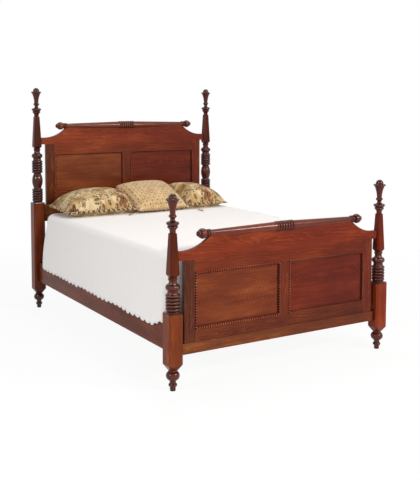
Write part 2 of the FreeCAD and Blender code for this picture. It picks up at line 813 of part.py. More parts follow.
def blanket_roll(end):
    """A roll turned between two acorn ends, grooved underneath to sit over the scroll board's top edge."""
    name = f"{end}_roll"
    bead = (size["roll_bead_length"], size["roll_bead_radius"], size["roll_neck_radius"])
    rings = [(size["roll_ring_pitch"], size["roll_ring_radius"], size["roll_ring_groove_radius"])
             for ring in range(int(size["roll_ring_count"].value))]
    end_steps = [
        (size["roll_dome_length"], dome_middle(size["roll_dome_length"], size["roll_dome_radius"]),
         size["roll_dome_radius"]),
        (0, None, size["roll_acorn_end_radius"]),
        (size["roll_acorn_length"], size["roll_acorn_radius"], size["roll_acorn_end_radius"]),
        (0, None, size["roll_neck_radius"]),
        (size["roll_neck_length"], None, size["roll_neck_radius"]),
        bead,
        bead,
        (0, None, size["roll_shaft_end_radius"]),
    ]
    taper = roll_half_length - total(end_steps) - total(rings) / 2
    half = end_steps + [(taper, None, size["roll_shaft_radius"]), (0, None, size["roll_ring_groove_radius"])]
    turning = turned(name + "_turning", -roll_half_length, 0,
                     half + rings + reversed_steps(0, half), V(1, 0, 0))
    axis_height = scroll_top[end] + size["roll_lift"]
    place(turning, 0, post_y * ENDS[end], axis_height)
    spare = size["fit"]
    groove_half = cusp_half_span + size["roll_groove_spare"]
    groove = box(name + "_groove",
                 (groove_half * 2, size["frame_thick"] + spare * 2, size["roll_ring_radius"] * 2),
                 (-groove_half, post_y * ENDS[end] - size["frame_thick"] / 2 - spare,
                  scroll_top[end] - size["roll_ring_radius"] * 2))
    holes = roll_dowel_set(name + "_hole", end, spare)
    keep(cut(name, turning, [groove] + holes), name)


# Side rails with their hooks, ledgers and slats

def role_plane(body, role):
    return next(plane for plane in body.Origin.OriginFeatures if plane.Role == role)


def centred_rectangle(body, name, role, width, height):
    """A sketch of a rectangle about the body's origin, sized by two bound constraints."""
    sketch = body.newObject("Sketcher::SketchObject", name)
    sketch.AttachmentSupport = [(role_plane(body, role), "")]
    sketch.MapMode = "FlatFace"
    half_w, half_h = width.value / 2, height.value / 2
    corners = [V(-half_w, -half_h, 0), V(half_w, -half_h, 0), V(half_w, half_h, 0), V(-half_w, half_h, 0)]
    sketch.addGeometry([Part.LineSegment(a, b) for a, b in zip(corners, corners[1:] + corners[:1])], False)
    for edge in range(4):
        sketch.addConstraint(Sketcher.Constraint("Coincident", edge, 2, (edge + 1) % 4, 1))
    for edge, kind in enumerate(("Horizontal", "Vertical", "Horizontal", "Vertical")):
        sketch.addConstraint(Sketcher.Constraint(kind, edge))
    sketch.addConstraint(Sketcher.Constraint("Symmetric", 0, 1, 2, 1, -1, 1))
    across = sketch.addConstraint(Sketcher.Constraint("DistanceX", 0, 1, 0, 2, width.value))
    upright = sketch.addConstraint(Sketcher.Constraint("DistanceY", 1, 1, 1, 2, height.value))
    sketch.setExpression(f"Constraints[{across}]", formula_of(width))
    sketch.setExpression(f"Constraints[{upright}]", formula_of(height))
    return sketch


def pocket(body, sketch, length):
    feature = body.newObject("PartDesign::Pocket", sketch.Name + "_pocket")
    feature.Profile = sketch
    bind(feature, Length=length)
    return feature


def side_rail(side_name):
    """A rail padded along the bed, with a recess for a hook plate in each end."""
    side = SIDES[side_name]
    name = f"side_rail_{side_name}"
    body = document.addObject("PartDesign::Body", name + "_body")
    length = block_inner_y * 2
    section = centred_rectangle(body, name + "_section", "XZ_Plane", size["rail_thick"], size["rail_height"])
    pad = body.newObject("PartDesign::Pad", name + "_pad")
    pad.Profile = section
    pad.SideType = "Symmetric"
    bind(pad, Length=length)
    recess = centred_rectangle(body, name + "_recess", "XZ_Plane", size["plate_width"], size["plate_height"])
    recess.setExpression("AttachmentOffset.Base.z", formula_of(length / 2))
    recess_pocket = pocket(body, recess, size["plate_thick"])
    mirrored = body.newObject("PartDesign::Mirrored", name + "_both_ends")
    mirrored.Originals = [recess_pocket]
    mirrored.MirrorPlane = (role_plane(body, "XZ_Plane"), [""])
    body.Tip = mirrored
    place(body, rail_middle * side, 0, rail_mid_height)
    holes = ledger_screw_rods(name + "_ledger_hole", side_name)
    holes += [rod(f"{name}_plate_hole_{end}_{place_name}", size["plate_screw_radius"], size["plate_screw_length"],
                  (rail_middle * side, block_inner_y * along,
                   rail_mid_height + size["plate_screw_offset"] * level), V(0, -along, 0))
              for end, along in ENDS.items() for place_name, level in (("low", -1), ("high", 1))]
    keep(cut(name + "_drilled", body, holes), name)


def hook(name, side, along, level):
    """A hook: a neck through the post's plate and a nose that hangs down behind it."""
    x = rail_middle * side - size["hook_thick"] / 2
    reach = size["hook_reach"] + size["plate_thick"]
    start = block_inner_y if along > 0 else -(block_inner_y + reach)
    middle = rail_mid_height + size["hook_offset"] * level
    neck = box(name + "_neck", (size["hook_thick"], reach, size["hook_neck_height"]),
               (x, start, middle + size["hook_height"] / 2 - size["hook_neck_height"]))
    nose_length = reach / 2 - size["slot_clearance"]
    nose_start = block_inner_y + reach - nose_length if along > 0 else -(block_inner_y + reach)
    nose = box(name + "_nose", (size["hook_thick"], nose_length, size["hook_height"]),
               (x, nose_start, middle - size["hook_height"] / 2))
    return [neck, nose]


def plate_at(name, side, y):
    return box(name, (size["plate_width"], size["plate_thick"], size["plate_height"]),
               (rail_middle * side - size["plate_width"] / 2, y, rail_mid_height - size["plate_height"] / 2))


def hook_plates():
    """The four plates let into the rails' ends, each with two hooks."""
    plates = []
    for side_name, side in SIDES.items():
        for end, along in ENDS.items():
            name = f"hook_plate_{end}_{side_name}"
            y = block_inner_y - size["plate_thick"] if along > 0 else -block_inner_y
            parts = [plate_at(name + "_plate", side, y)]
            for place_name, level in (("low", -1), ("high", 1)):
                parts += hook(f"{name}_{place_name}", side, along, level)
            plates.append(cut(name, joined(name + "_solid", parts), screw_holes(name, side, along)))
    keep(grouped("rail_hook_plates", plates), "rail_hook_plates")


def screw_holes(name, side, along):
    return [rod(f"{name}_screw_{place_name}", size["plate_screw_radius"], size["plate_thick"] * 4,
                (rail_middle * side, block_inner_y * along - size["plate_thick"] * 2,
                 rail_mid_height + size["plate_screw_offset"] * level), V(0, 1, 0))
            for place_name, level in (("low", -1), ("high", 1))]


def slot_plates():
    """The four slotted plates let into the posts, which the hooks drop into."""
    plates = []
    for side_name, side in SIDES.items():
        for end, along in ENDS.items():
            name = f"slot_plate_{end}_{side_name}"
            y = block_inner_y if along > 0 else -(block_inner_y + size["plate_thick"])
            slots = [box(f"{name}_slot_{place_name}",
                         (size["hook_thick"] + size["slot_clearance"] * 2, size["plate_thick"] * 4,
                          size["hook_height"] + size["slot_clearance"] * 2),
                         (rail_middle * side - size["hook_thick"] / 2 - size["slot_clearance"],
                          block_inner_y * along - size["plate_thick"] * 2,
                          rail_mid_height + size["hook_offset"] * level - size["hook_height"] / 2
                          - size["slot_clearance"]))
                     for place_name, level in (("low", -1), ("high", 1))]
            plates.append(cut(name, plate_at(name + "_plate", side, y), slots + screw_holes(name, side, along)))
    keep(grouped("post_slot_plates", plates), "post_slot_plates")


def plate_screws():
    """Screws through each pair of plates, one set into the rail's end and one into the post."""
    screws = []
    for side_name, side in SIDES.items():
        for end, along in ENDS.items():
            for place_name, level in (("low", -1), ("high", 1)):
                for way_name, way in (("rail", -along), ("post", along)):
                    screws.append(rod(f"plate_screw_{end}_{side_name}_{place_name}_{way_name}",
                                      size["plate_screw_radius"] - size["fit"] / 2,
                                      size["plate_screw_length"] - size["fit"],
                                      (rail_middle * side, (block_inner_y + size["fit"] * (way * along)) * along,
                                       rail_mid_height + size["plate_screw_offset"] * level), V(0, way, 0)))
    keep(grouped("plate_screws", screws), "plate_screws")


ledger_bottom = size["rail_bottom"] + size["ledger_inset"]
ledger_top = ledger_bottom + size["ledger_height"]
slat_top = ledger_top + size["slat_thick"]
ledger_half_length = block_inner_y - size["ledger_end_gap"]
ledger_inner = rail_inner - size["ledger_width"]


def ledger_screw_rods(name, side_name, spare=0, shorter=0):
    """Screws from a ledger's inner face into its rail."""
    side = SIDES[side_name]
    return [rod(f"{name}_{side_name}_{number}", size["screw_radius"] + spare, size["ledger_screw_length"] - shorter,
                (ledger_inner * side, size["ledger_screw_spacing"] * (number - 1.5),
                 ledger_bottom + size["ledger_height"] / 2), V(side, 0, 0))
            for number in range(4)]


def ledger(side_name):
    side = SIDES[side_name]
    name = f"ledger_{side_name}"
    strip = box(name + "_strip", (size["ledger_width"], ledger_half_length * 2, size["ledger_height"]),
                (ledger_inner if side > 0 else -rail_inner, -ledger_half_length, ledger_bottom))
    holes = ledger_screw_rods(name + "_hole", side_name)
    holes += [slat_screw_rod(f"{name}_slat_hole_{number}", side, number) for number in range(slat_count)]
    keep(cut(name, strip, holes), name)


slat_count = int(size["slat_count"].value)


def slat_y(number):
    spacing = (size["mattress_length"] - size["slat_end_margin"] * 2) / (slat_count - 1)
    return spacing * (number - (slat_count - 1) / 2)


def slat_screw_rod(name, side, number, spare=0):
    """A screw down through a slat's end into the ledger."""
    return rod(name, size["screw_radius"] + spare, size["slat_screw_length"],
               ((ledger_inner + size["ledger_width"] / 2) * side, slat_y(number),
                slat_top - size["slat_screw_length"]))


def leg_numbers():
    middle = slat_count // 2
    return range(max(middle - 1, 0), min(middle + 2, slat_count))


def slats():
    half = rail_inner - size["slat_end_gap"]
    for number in range(slat_count):
        name = f"slat_{number + 1}"
        board = box(name + "_board", (half * 2, size["slat_width"], size["slat_thick"]),
                    (-half, slat_y(number) - size["slat_width"] / 2, ledger_top))
        holes = [slat_screw_rod(f"{name}_hole_{side_name}", side, number) for side_name, side in SIDES.items()]
        if number in leg_numbers():
            holes.append(leg_screw_rod(name + "_leg_hole", number))
        keep(cut(name, board, holes), name)


def leg_screw_rod(name, number, spare=0):
    return rod(name, size["screw_radius"] + spare, size["leg_screw_length"],
               (0, slat_y(number), slat_top - size["leg_screw_length"]))


def screws():
    thinner = -size["fit"] / 2
    ledger_rods = []
    slat_rods = []
    for side_name, side in SIDES.items():
        ledger_rods += ledger_screw_rods("ledger_screw", side_name, thinner, size["fit"])
        slat_rods += [slat_screw_rod(f"slat_screw_{side_name}_{number}", side, number, thinner)
                      for number in range(slat_count)]
    leg_rods = [leg_screw_rod(f"leg_screw_{number}", number, thinner) for number in leg_numbers()]
    for label, rods in (("ledger_screws", ledger_rods), ("slat_screws", slat_rods), ("leg_screws", leg_rods)):
        keep(grouped(label, rods), label)


# Centre legs and their screw levellers

leg_bottom = size["glide_length"] + size["leveller_travel"]


def centre_leg(number, place_name):
    """A square leg under a slat, bored for a threaded insert and for the rod above it."""
    name = f"centre_leg_{place_name}"
    y = slat_y(number)
    half = size["leg_side"] / 2
    post_box = box(name + "_post", (size["leg_side"], size["leg_side"], ledger_top - leg_bottom),
                   (-half, y - half, leg_bottom))
    insert_hole = rod(name + "_insert_hole", size["insert_radius"], size["insert_length"], (0, y, leg_bottom))
    bore_top = size["glide_length"] + size["rod_length"] + size["leveller_travel"] + size["leg_bore_spare"]
    bore = rod(name + "_bore", size["rod_radius"] + size["slot_clearance"], bore_top - leg_bottom,
               (0, y, leg_bottom))
    keep(cut(name, post_box, [insert_hole, bore, leg_screw_rod(name + "_screw_hole", number)]), name)

    glide_steps = [
        (size["glide_rim_length"], None, size["glide_radius"]),
        (size["glide_length"] - size["glide_rim_length"], None, size["glide_cone_radius"]),
        (0, None, size["rod_radius"]),
        (size["rod_length"], None, size["rod_radius"]),
    ]
    leveller = turned(f"leveller_{place_name}", 0, size["glide_base_radius"], glide_steps)
    keep(place(leveller, 0, y, 0), f"leveller_{place_name}")


def leg_inserts():
    """The sleeves in the legs' ends that the levellers' rods run in."""
    sleeves = []
    for number in leg_numbers():
        foot = (0, slat_y(number), leg_bottom)
        sleeve = rod(f"leg_insert_{number}_sleeve", size["insert_radius"], size["insert_length"], foot)
        bore = rod(f"leg_insert_{number}_bore", size["rod_radius"] + size["rod_clearance"],
                   size["insert_length"], foot)
        sleeves.append(cut(f"leg_insert_{number}", sleeve, [bore]))
    keep(grouped("leg_insert_set", sleeves), "leg_inserts")


# Bedding

def rounded_block(name, lengths, corner, corner_radius, edge_radius=None):
    """A padded block: rounded upright corners and, where asked, rounded top and bottom edges."""
    blank = box(name + "_blank", lengths, corner)
    document.recompute()
    upright = [number for number, edge in enumerate(blank.Shape.Edges, start=1)
               if abs(edge.tangentAt(edge.FirstParameter).z) > 0.5]
    rounded = document.addObject("Part::Fillet", name + "_corners")
    rounded.Base = blank
    rounded.Edges = [(number, corner_radius.value, corner_radius.value) for number in upright]
    if edge_radius is None:
        return rounded
    document.recompute()
    level = [number for number, edge in enumerate(rounded.Shape.Edges, start=1)
             if edge.BoundBox.ZLength < corner_radius.value / 10]
    soft = document.addObject("Part::Fillet", name + "_edges")
    soft.Base = rounded
    soft.Edges = [(number, edge_radius.value, edge_radius.value) for number in level]
    return soft


box_spring_bottom = slat_top + size["soft_gap"]
mattress_bottom = box_spring_bottom + size["box_spring_height"] + size["soft_gap"]
mattress_top = mattress_bottom + size["mattress_height"]
coverlet_top = mattress_top + size["soft_gap"] + size["coverlet_thick"]
bedding_lengths = {"box_spring": size["box_spring_height"], "mattress": size["mattress_height"]}


def mattress_set():
    width, length = size["mattress_width"], size["mattress_length"]
    spring = rounded_block("box_spring_block", (width, length, size["box_spring_height"]),
                           (-width / 2, -length / 2, box_spring_bottom), size["box_spring_corner"])
    keep(spring, "box_spring")
    mattress = rounded_block("mattress_block", (width, length, size["mattress_height"]),
                             (-width / 2, -length / 2, mattress_bottom),
                             size["mattress_corner"], size["mattress_edge"])
    keep(mattress, "mattress")


def rounded_ring(name, half_x, foot_y, head_y, foot_radius, head_radius, height):
    """A level rectangle with round corners, counter-clockwise."""
    corners = [(1, foot_y + foot_radius, foot_radius, -90), (1, head_y - head_radius, head_radius, 0),
               (-1, head_y - head_radius, head_radius, 90), (-1, foot_y + foot_radius, foot_radius, 180)]
    edges = []
    ends = []
    for side, y, radius, start in corners:
        x = (half_x - radius) * side
        points = [V(x + radius * math.cos(math.radians(angle)), y + radius * math.sin(math.radians(angle)), height)
                  for angle in (start, start + 45, start + 90)]
        edges.append(arc(*points))
        ends.append((points[0], points[2]))
    sides = [line(first[1], second[0]) for first, second in zip(ends, ends[1:] + ends[:1])]
    return wire(name, [edge for pair in zip(edges, sides) for edge in pair])


def coverlet_form(name, inset, low, high):
    """The outside of the coverlet, or its hollow when inset by the cloth, from a height up to the top."""
    half_top = size["mattress_width"] / 2 + size["coverlet_overhang"] - inset
    half_hem = rail_outer + size["coverlet_hang"] + size["coverlet_thick"] - inset
    end_top = size["mattress_length"] / 2 + size["coverlet_overhang"] - inset
    corners = [(size[key] - inset).value for key in ("coverlet_corner", "coverlet_head_corner")]
    rings = [rounded_ring(name + "_hem", half_hem.value,
                          -(end_top + size["coverlet_foot_flare"]).value, end_top.value, *corners, low.value),
             rounded_ring(name + "_crease", half_top.value, -end_top.value, end_top.value, *corners, high.value)]
    sides = lofted(name + "_sides", rings)
    document.recompute()
    top_edges = [number for number, edge in enumerate(sides.Shape.Edges, start=1)
                 if edge.BoundBox.ZMin > high.value - 1]
    soft = document.addObject("Part::Fillet", name + "_soft")
    soft.Base = sides
    radius = (size["coverlet_edge"] - inset).value
    soft.Edges = [(number, radius, radius) for number in top_edges]
    return soft


def coverlet():
    """One sheet over the mattress. It laps the outside of the side rails, stops above them at the foot and is
    turned down a little at the head."""
    rail_top = size["rail_bottom"] + size["rail_height"]
    hem = rail_top - size["coverlet_side_lap"]
    outside = coverlet_form("coverlet_outside", Size("0", 0.0), hem, coverlet_top)
    inside = coverlet_form("coverlet_inside", size["coverlet_thick"], hem,
                           coverlet_top - size["coverlet_thick"])
    far = post_x * 2
    end = size["mattress_length"] / 2 + size["coverlet_overhang"]
    foot_gap = box("coverlet_foot_gap", (far * 2, far, rail_top + size["coverlet_overhang"]),
                   (-far, size["coverlet_corner"] - end - far, 0))
    head_gap = box("coverlet_head_gap", (far * 2, far, coverlet_top - size["coverlet_head_drop"]),
                   (-far, end - size["coverlet_head_corner"], 0))
    keep(cut("coverlet_sheet", outside, [inside, foot_gap, head_gap]), "coverlet")


def seam_ring(x, half_depth, rise, fall, seam):
    """A cushion's section across its depth: crowned above and below a seam."""
    half = seam / 2
    return Part.Wire([
        arc(V(x, -half_depth, -half), V(x, 0, -fall), V(x, half_depth, -half)),
        line(V(x, half_depth, -half), V(x, half_depth, half)),
        arc(V(x, half_depth, half), V(x, 0, rise), V(x, -half_depth, half)),
        line(V(x, -half_depth, half), V(x, -half_depth, -half)),
    ])


# A cushion's sections: share of its half-width, of its half-depth and of its full thickness
CUSHION_SECTIONS = ((-1, 1, 0), (-0.9, 0.975, 0.42), (-0.6, 0.95, 0.84), (0, 0.94, 1),
                    (0.6, 0.95, 0.84), (0.9, 0.975, 0.42), (1, 1, 0))


def cushion(name, kind, spare=0.0):
    """A crowned cushion about its own middle, with sides drawn in between its corners."""
    width, depth, rise, fall = (size[f"{kind}_{key}"].value for key in ("width", "depth", "rise", "fall"))
    seam = size["pillow_seam"].value + spare * 2
    sections = []
    for across, reach, fullness in CUSHION_SECTIONS:
        edge = seam / 2 + 1
        sections.append(seam_ring(across * (width / 2 + spare), reach * depth / 2 + spare,
                                  edge + fullness * (rise + spare - edge),
                                  edge + fullness * (fall + spare - edge), seam))
    feature = document.addObject("Part::Feature", name)
    feature.Shape = Part.makeLoft(sections, True, False)
    return feature


def throw_placement():
    turn = FreeCAD.Rotation(UP, size["throw_turn"].value)
    tilt = FreeCAD.Rotation(V(1, 0, 0), size["throw_tilt"].value)
    return FreeCAD.Placement(V(size["throw_aside"].value, size["throw_forward"].value,
                               (coverlet_top + size["throw_lift"]).value), turn.multiply(tilt))


def pillows():
    """Two bed pillows side by side, flat where they rest and dented by the throw pillow that lies on both."""
    head_face = post_y - size["frame_thick"] / 2
    for side_name, side in SIDES.items():
        name = f"pillow_{side_name}"
        form = cushion(name + "_form", "pillow")
        x = (size["pillow_middle_gap"] + size["pillow_width"]) / 2 * side
        y = head_face - size["pillow_headboard_gap"] - size["pillow_depth"] / 2
        z = coverlet_top + size["pillow_seam_height"]
        form.Placement = FreeCAD.Placement(V(x.value, y.value, z.value),
                                           FreeCAD.Rotation(V(1, 0, 0), size["pillow_tilt"].value))
        dent = cushion(name + "_dent", "throw", size["soft_gap"].value)
        dent.Placement = throw_placement()
        span = size["pillow_width"] * 2
        bed = box(name + "_bed", (span, span, span),
                  (x - span / 2, y - span / 2, coverlet_top + size["soft_gap"] - span))
        keep(cut(name + "_rested", form, [dent, bed]), name)


def throw_pillow():
    form = cushion("throw_form", "throw")
    form.Placement = throw_placement()
    span = size["throw_width"] * 2
    bed = box("throw_bed", (span, span, span),
              (size["throw_aside"] - span / 2, size["throw_forward"] - span / 2,
               coverlet_top + size["soft_gap"] - span))
    keep(cut("throw_rested", form, [bed]), "throw_pillow")


def tassel(corner, bearing, cord_length):
    """A tassel on a cord from a corner of the throw pillow, sloping down until its skirt rests on the coverlet."""
    length, radius, neck, cord = (size[f"tassel_{key}"].value
                                  for key in ("length", "radius", "neck_radius", "cord_radius"))
    start = throw_placement().multVec(corner)
    reach = cord_length.value + length
    rest_height = (coverlet_top + size["soft_gap"] * 2).value + radius
    drop = start.z - rest_height
    level = math.sqrt(reach * reach - drop * drop)
    heading = math.radians(bearing.value)
    along = V(level * math.cos(heading), level * math.sin(heading), -drop)
    along.normalize()
    start = start + along * size["soft_gap"].value
    cord_shape = Part.makeCylinder(cord, cord_length.value, start, along)
    skirt = Part.makeCone(neck, radius, length, start + along * cord_length.value, along)
    return cord_shape.fuse(skirt)


def tassels():
    """The two tassels at the throw pillow's front corners."""
    half_width, half_depth = size["throw_width"].value / 2, size["throw_depth"].value / 2
    feature = document.addObject("Part::Feature", "tassel_set")
    feature.Shape = Part.makeCompound([
        tassel(V(-half_width, -half_depth, 0), size["tassel_left_bearing"], size["tassel_left_cord"]),
        tassel(V(half_width, -half_depth, 0), size["tassel_right_bearing"], size["tassel_right_cord"]),
    ])
    keep(feature, "throw_tassels")


# Assembly

for end in ENDS:
    for side_name in SIDES:
        post(side_name, end)
    cross_rail(end)
    end_frame(end)
    for side_name in SIDES:
        panel_moulding(side_name, end)
    scroll_board(end)
    blanket_roll(end)

thin = -size["fit"] / 2
keep(grouped("frame_dowel_set", [one for end in ENDS for group in joint_dowels(f"{end}_frame_dowel", end, thin)
                                 for one in group]), "frame_dowels")
keep(grouped("roll_dowel_group", [one for end in ENDS for one in roll_dowel_set(f"{end}_roll_dowel", end, thin)]),
     "roll_dowels")

for side_name in SIDES:
    side_rail(side_name)
    ledger(side_name)
hook_plates()
slot_plates()
plate_screws()
slats()
screws()
for number, place_name in zip(leg_numbers(), ("foot", "middle", "head")):
    centre_leg(number, place_name)
leg_inserts()

mattress_set()
coverlet()
pillows()
throw_pillow()
tassels()

document.recompute()

# Checks before anything is written

for feature in document.Objects:
    if "Invalid" in feature.State or "Error" in feature.State:
        raise RuntimeError(f"{feature.Label} failed: {feature.State}")

os.makedirs("parts", exist_ok=True)
for feature in subparts:
    shape = feature.Shape
    if shape.isNull() or not shape.isValid():
        raise RuntimeError(f"{feature.Label} has no valid shape")
    shape.exportStep(f"parts/{feature.Label}.step")
    print(f"{feature.Label}: {len(shape.Solids)} solid(s), {shape.Volume / 1000:.1f} cm3")
print(f"{len(subparts)} sub-parts")
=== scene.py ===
"""The looks of the spindle bed: stained cherry, a scalloped white coverlet and three pillows."""
import math
import random

import bpy
import numpy as np
from mathutils import Matrix, Vector, kdtree, noise


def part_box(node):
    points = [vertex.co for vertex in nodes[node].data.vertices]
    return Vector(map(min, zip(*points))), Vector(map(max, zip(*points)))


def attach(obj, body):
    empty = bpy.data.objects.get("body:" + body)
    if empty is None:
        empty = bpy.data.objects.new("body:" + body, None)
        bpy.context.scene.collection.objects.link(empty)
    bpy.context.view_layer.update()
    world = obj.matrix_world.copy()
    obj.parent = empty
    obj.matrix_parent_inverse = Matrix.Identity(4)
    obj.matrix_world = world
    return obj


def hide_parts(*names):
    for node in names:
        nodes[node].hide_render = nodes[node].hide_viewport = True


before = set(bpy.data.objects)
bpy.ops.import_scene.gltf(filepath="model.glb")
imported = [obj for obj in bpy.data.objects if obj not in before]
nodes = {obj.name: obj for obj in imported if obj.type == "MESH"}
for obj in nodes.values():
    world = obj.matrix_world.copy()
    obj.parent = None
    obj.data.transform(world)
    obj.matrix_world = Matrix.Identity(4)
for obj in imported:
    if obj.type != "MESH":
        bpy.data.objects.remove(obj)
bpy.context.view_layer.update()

BODY = "bed"
ENDS, SIDES = ("foot", "head"), ("left", "right")
ALONG, UP = Vector((0, 1, 0)), Vector((0, 0, 1))
WHITE = (1, 1, 1, 1)


# ---------------- Colours and node trees

def srgb(red, green, blue):
    """A display colour, 0 to 255, as a linear one."""
    def linear(value):
        value /= 255
        return value / 12.92 if value <= 0.04045 else ((value + 0.055) / 1.055) ** 2.4
    return (linear(red), linear(green), linear(blue), 1)


def configure(thing, **settings):
    for key, value in settings.items():
        setattr(thing, key, value)
    return thing


class Tree:
    """A node tree, built by short calls that each return an output socket."""

    def __init__(self, owner):
        owner.use_nodes = True
        self.nodes = owner.node_tree.nodes
        self.links = owner.node_tree.links

    def node(self, kind, inputs, **settings):
        made = configure(self.nodes.new("ShaderNode" + kind), **settings)
        for key, value in inputs.items():
            self.feed(made.inputs[key], value)
        return made

    def feed(self, socket, value):
        if isinstance(value, bpy.types.NodeSocket):
            self.links.new(value, socket)
        else:
            socket.default_value = value

    def position(self):
        return self.node("TexCoord", {}).outputs["Object"]

    def attribute(self, name):
        return self.node("Attribute", {}, attribute_name=name).outputs["Vector"]

    def math(self, operation, first, second=0.0, third=0.0):
        return self.node("Math", {0: first, 1: second, 2: third}, operation=operation).outputs[0]

    def plus(self, first, second):
        return self.math("ADD", first, second)

    def minus(self, first, second):
        return self.math("SUBTRACT", first, second)

    def times(self, first, second):
        return self.math("MULTIPLY", first, second)

    def times_plus(self, first, second, third):
        return self.math("MULTIPLY_ADD", first, second, third)

    def distance(self, x, y):
        return self.math("SQRT", self.plus(self.times(x, x), self.times(y, y)))

    def parts(self, vector):
        return self.node("SeparateXYZ", {0: vector}).outputs

    def vector(self, x, y, z):
        return self.node("CombineXYZ", {0: x, 1: y, 2: z}).outputs[0]

    def scaled(self, vector, scale):
        return self.node("VectorMath", {0: vector, 1: scale}, operation="MULTIPLY").outputs[0]

    def stretched(self, axes, slow, fast):
        """A vector that changes slowly along the first axis and fast along the other two."""
        along, across, deep = axes
        return self.vector(self.times(along, slow), self.times(across, fast), self.times(deep, fast))

    def noise(self, vector, scale, detail=3.0, rough=0.5, distortion=0.0):
        return self.node("TexNoise", {"Vector": vector, "Scale": scale, "Detail": detail, "Roughness": rough,
                                      "Distortion": distortion}).outputs["Fac"]

    def cells(self, vector, scale):
        return self.node("TexVoronoi", {"Vector": vector, "Scale": scale, "Randomness": 0.85},
                         feature="F1", voronoi_dimensions="2D")

    def ramp(self, value, stops):
        made = self.node("ValToRGB", {0: value})
        elements = made.color_ramp.elements
        while len(elements) < len(stops):
            elements.new(0.5)
        for element, (place, colour) in zip(elements, stops):
            element.position = place
            element.color = colour
        return made.outputs[0]

    def step(self, value, low, high):
        """0 below low, 1 above high and smooth between; the other way round if low is the larger."""
        rising = low < high
        inputs = {"Value": value, "From Min": min(low, high), "From Max": max(low, high),
                  "To Min": 0.0 if rising else 1.0, "To Max": 1.0 if rising else 0.0}
        return self.node("MapRange", inputs, interpolation_type="SMOOTHSTEP").outputs[0]

    def outside(self, value, low, high, blur):
        """0 between low and high, and 1 beyond them."""
        return self.math("MAXIMUM", self.step(value, low, low - blur), self.step(value, high, high + blur))

    def mix(self, factor, first, second, blend="MIX"):
        inputs = {0: factor, 6: first, 7: second}
        return self.node("Mix", inputs, data_type="RGBA", blend_type=blend).outputs[2]

    def tinted(self, colour, tint):
        return self.mix(1.0, colour, tint, "MULTIPLY")

    def backdrop_seen(self):
        """1 for rays that should meet plain white behind the bed, 0 for those that light it."""
        path = self.node("LightPath", {}).outputs
        mirrored = self.math("MAXIMUM", path["Is Glossy Ray"], path["Is Transmission Ray"])
        return self.math("MAXIMUM", path["Is Camera Ray"], mirrored)


class Surface(Tree):
    """The node tree of a new material, round its Principled shader."""

    def __init__(self, name, roughness, metallic=0.0, specular=0.3, coat=0.0, coat_roughness=0.1, sheen=0.0):
        self.material = bpy.data.materials.new(name)
        super().__init__(self.material)
        self.shader = self.nodes["Principled BSDF"]
        settings = {"Roughness": roughness, "Metallic": metallic, "Specular IOR Level": specular,
                    "Coat Weight": coat, "Coat Roughness": coat_roughness, "Sheen Weight": sheen}
        for socket, value in settings.items():
            self.shader.inputs[socket].default_value = value

    def colour(self, value):
        self.feed(self.shader.inputs["Base Color"], value)

    def bump(self, height, distance, strength=1.0):
        """Bumps of a real depth, in metres, added to those that the shader has."""
        before = self.shader.inputs["Normal"]
        inputs = {"Height": height, "Distance": distance, "Strength": strength}
        if before.is_linked:
            inputs["Normal"] = before.links[0].from_socket
        self.feed(before, self.node("Bump", inputs).outputs[0])


# ---------------- Wood and metal

# dark glaze on the end grain, and painted shade in recesses
CHERRY_GLAZE_AND_SHADE = srgb(30, 11, 8)
CHERRY_DARK = srgb(70, 24, 13)
CHERRY = srgb(101, 40, 21)
CHERRY_LIGHT = srgb(136, 66, 34)
BED_SIDE = 0.8                          # from the bed's middle to its left and right
PAINTED_LIGHT_SIDE = (1.1, 1.25, 1.2, 1)        # painted light: the wood's paler tint at the left
SHADED_SIDE = (0.73, 0.64, 0.64, 1)     # and painted shade: its darker, redder tint at the right
TURNED_DARKENING = (0.5, 0.34, 0.22, 1)     # a post's darker tint where it isn't a square block
TURNED_COAT, FLAT_COAT = 0.4, 0.05      # more coat where a post is turned, and what its flats have
RINGS_PER_METRE = 150.0
RING_TONES = ((0.0, 0.35), (0.3, 0.5), (0.65, 0.6), (0.88, 0.95), (1.0, 0.35))


def by_grain(place, grain):
    """A place's coordinates: along the grain, and the two across it."""
    x, y, z = place
    return {"X": (x, y, z), "Y": (y, x, z), "Z": (z, x, y)}[grain]


def growth_rings(tree, axes, pith, lean):
    """Rings round a pith line that leans from the grain's axis, so that a flat face shows arches."""
    along, across, deep = axes
    off_across = tree.plus(tree.times_plus(along, lean[0], across), -pith[0])
    off_deep = tree.plus(tree.times_plus(along, lean[1], deep), -pith[1])
    wander = tree.minus(tree.noise(tree.stretched(axes, 2.4, 11.0), 1.0, 3.0), 0.5)
    frayed = tree.minus(tree.noise(tree.stretched(axes, 60.0, 260.0), 1.0, 2.0), 0.5)
    from_pith = tree.times_plus(wander, 0.05, tree.distance(off_across, off_deep))
    from_pith = tree.times_plus(frayed, 0.002, from_pith)
    return tree.ramp(tree.math("FRACT", tree.times(from_pith, RINGS_PER_METRE)),
                     [(place, (tone, tone, tone, 1)) for place, tone in RING_TONES])


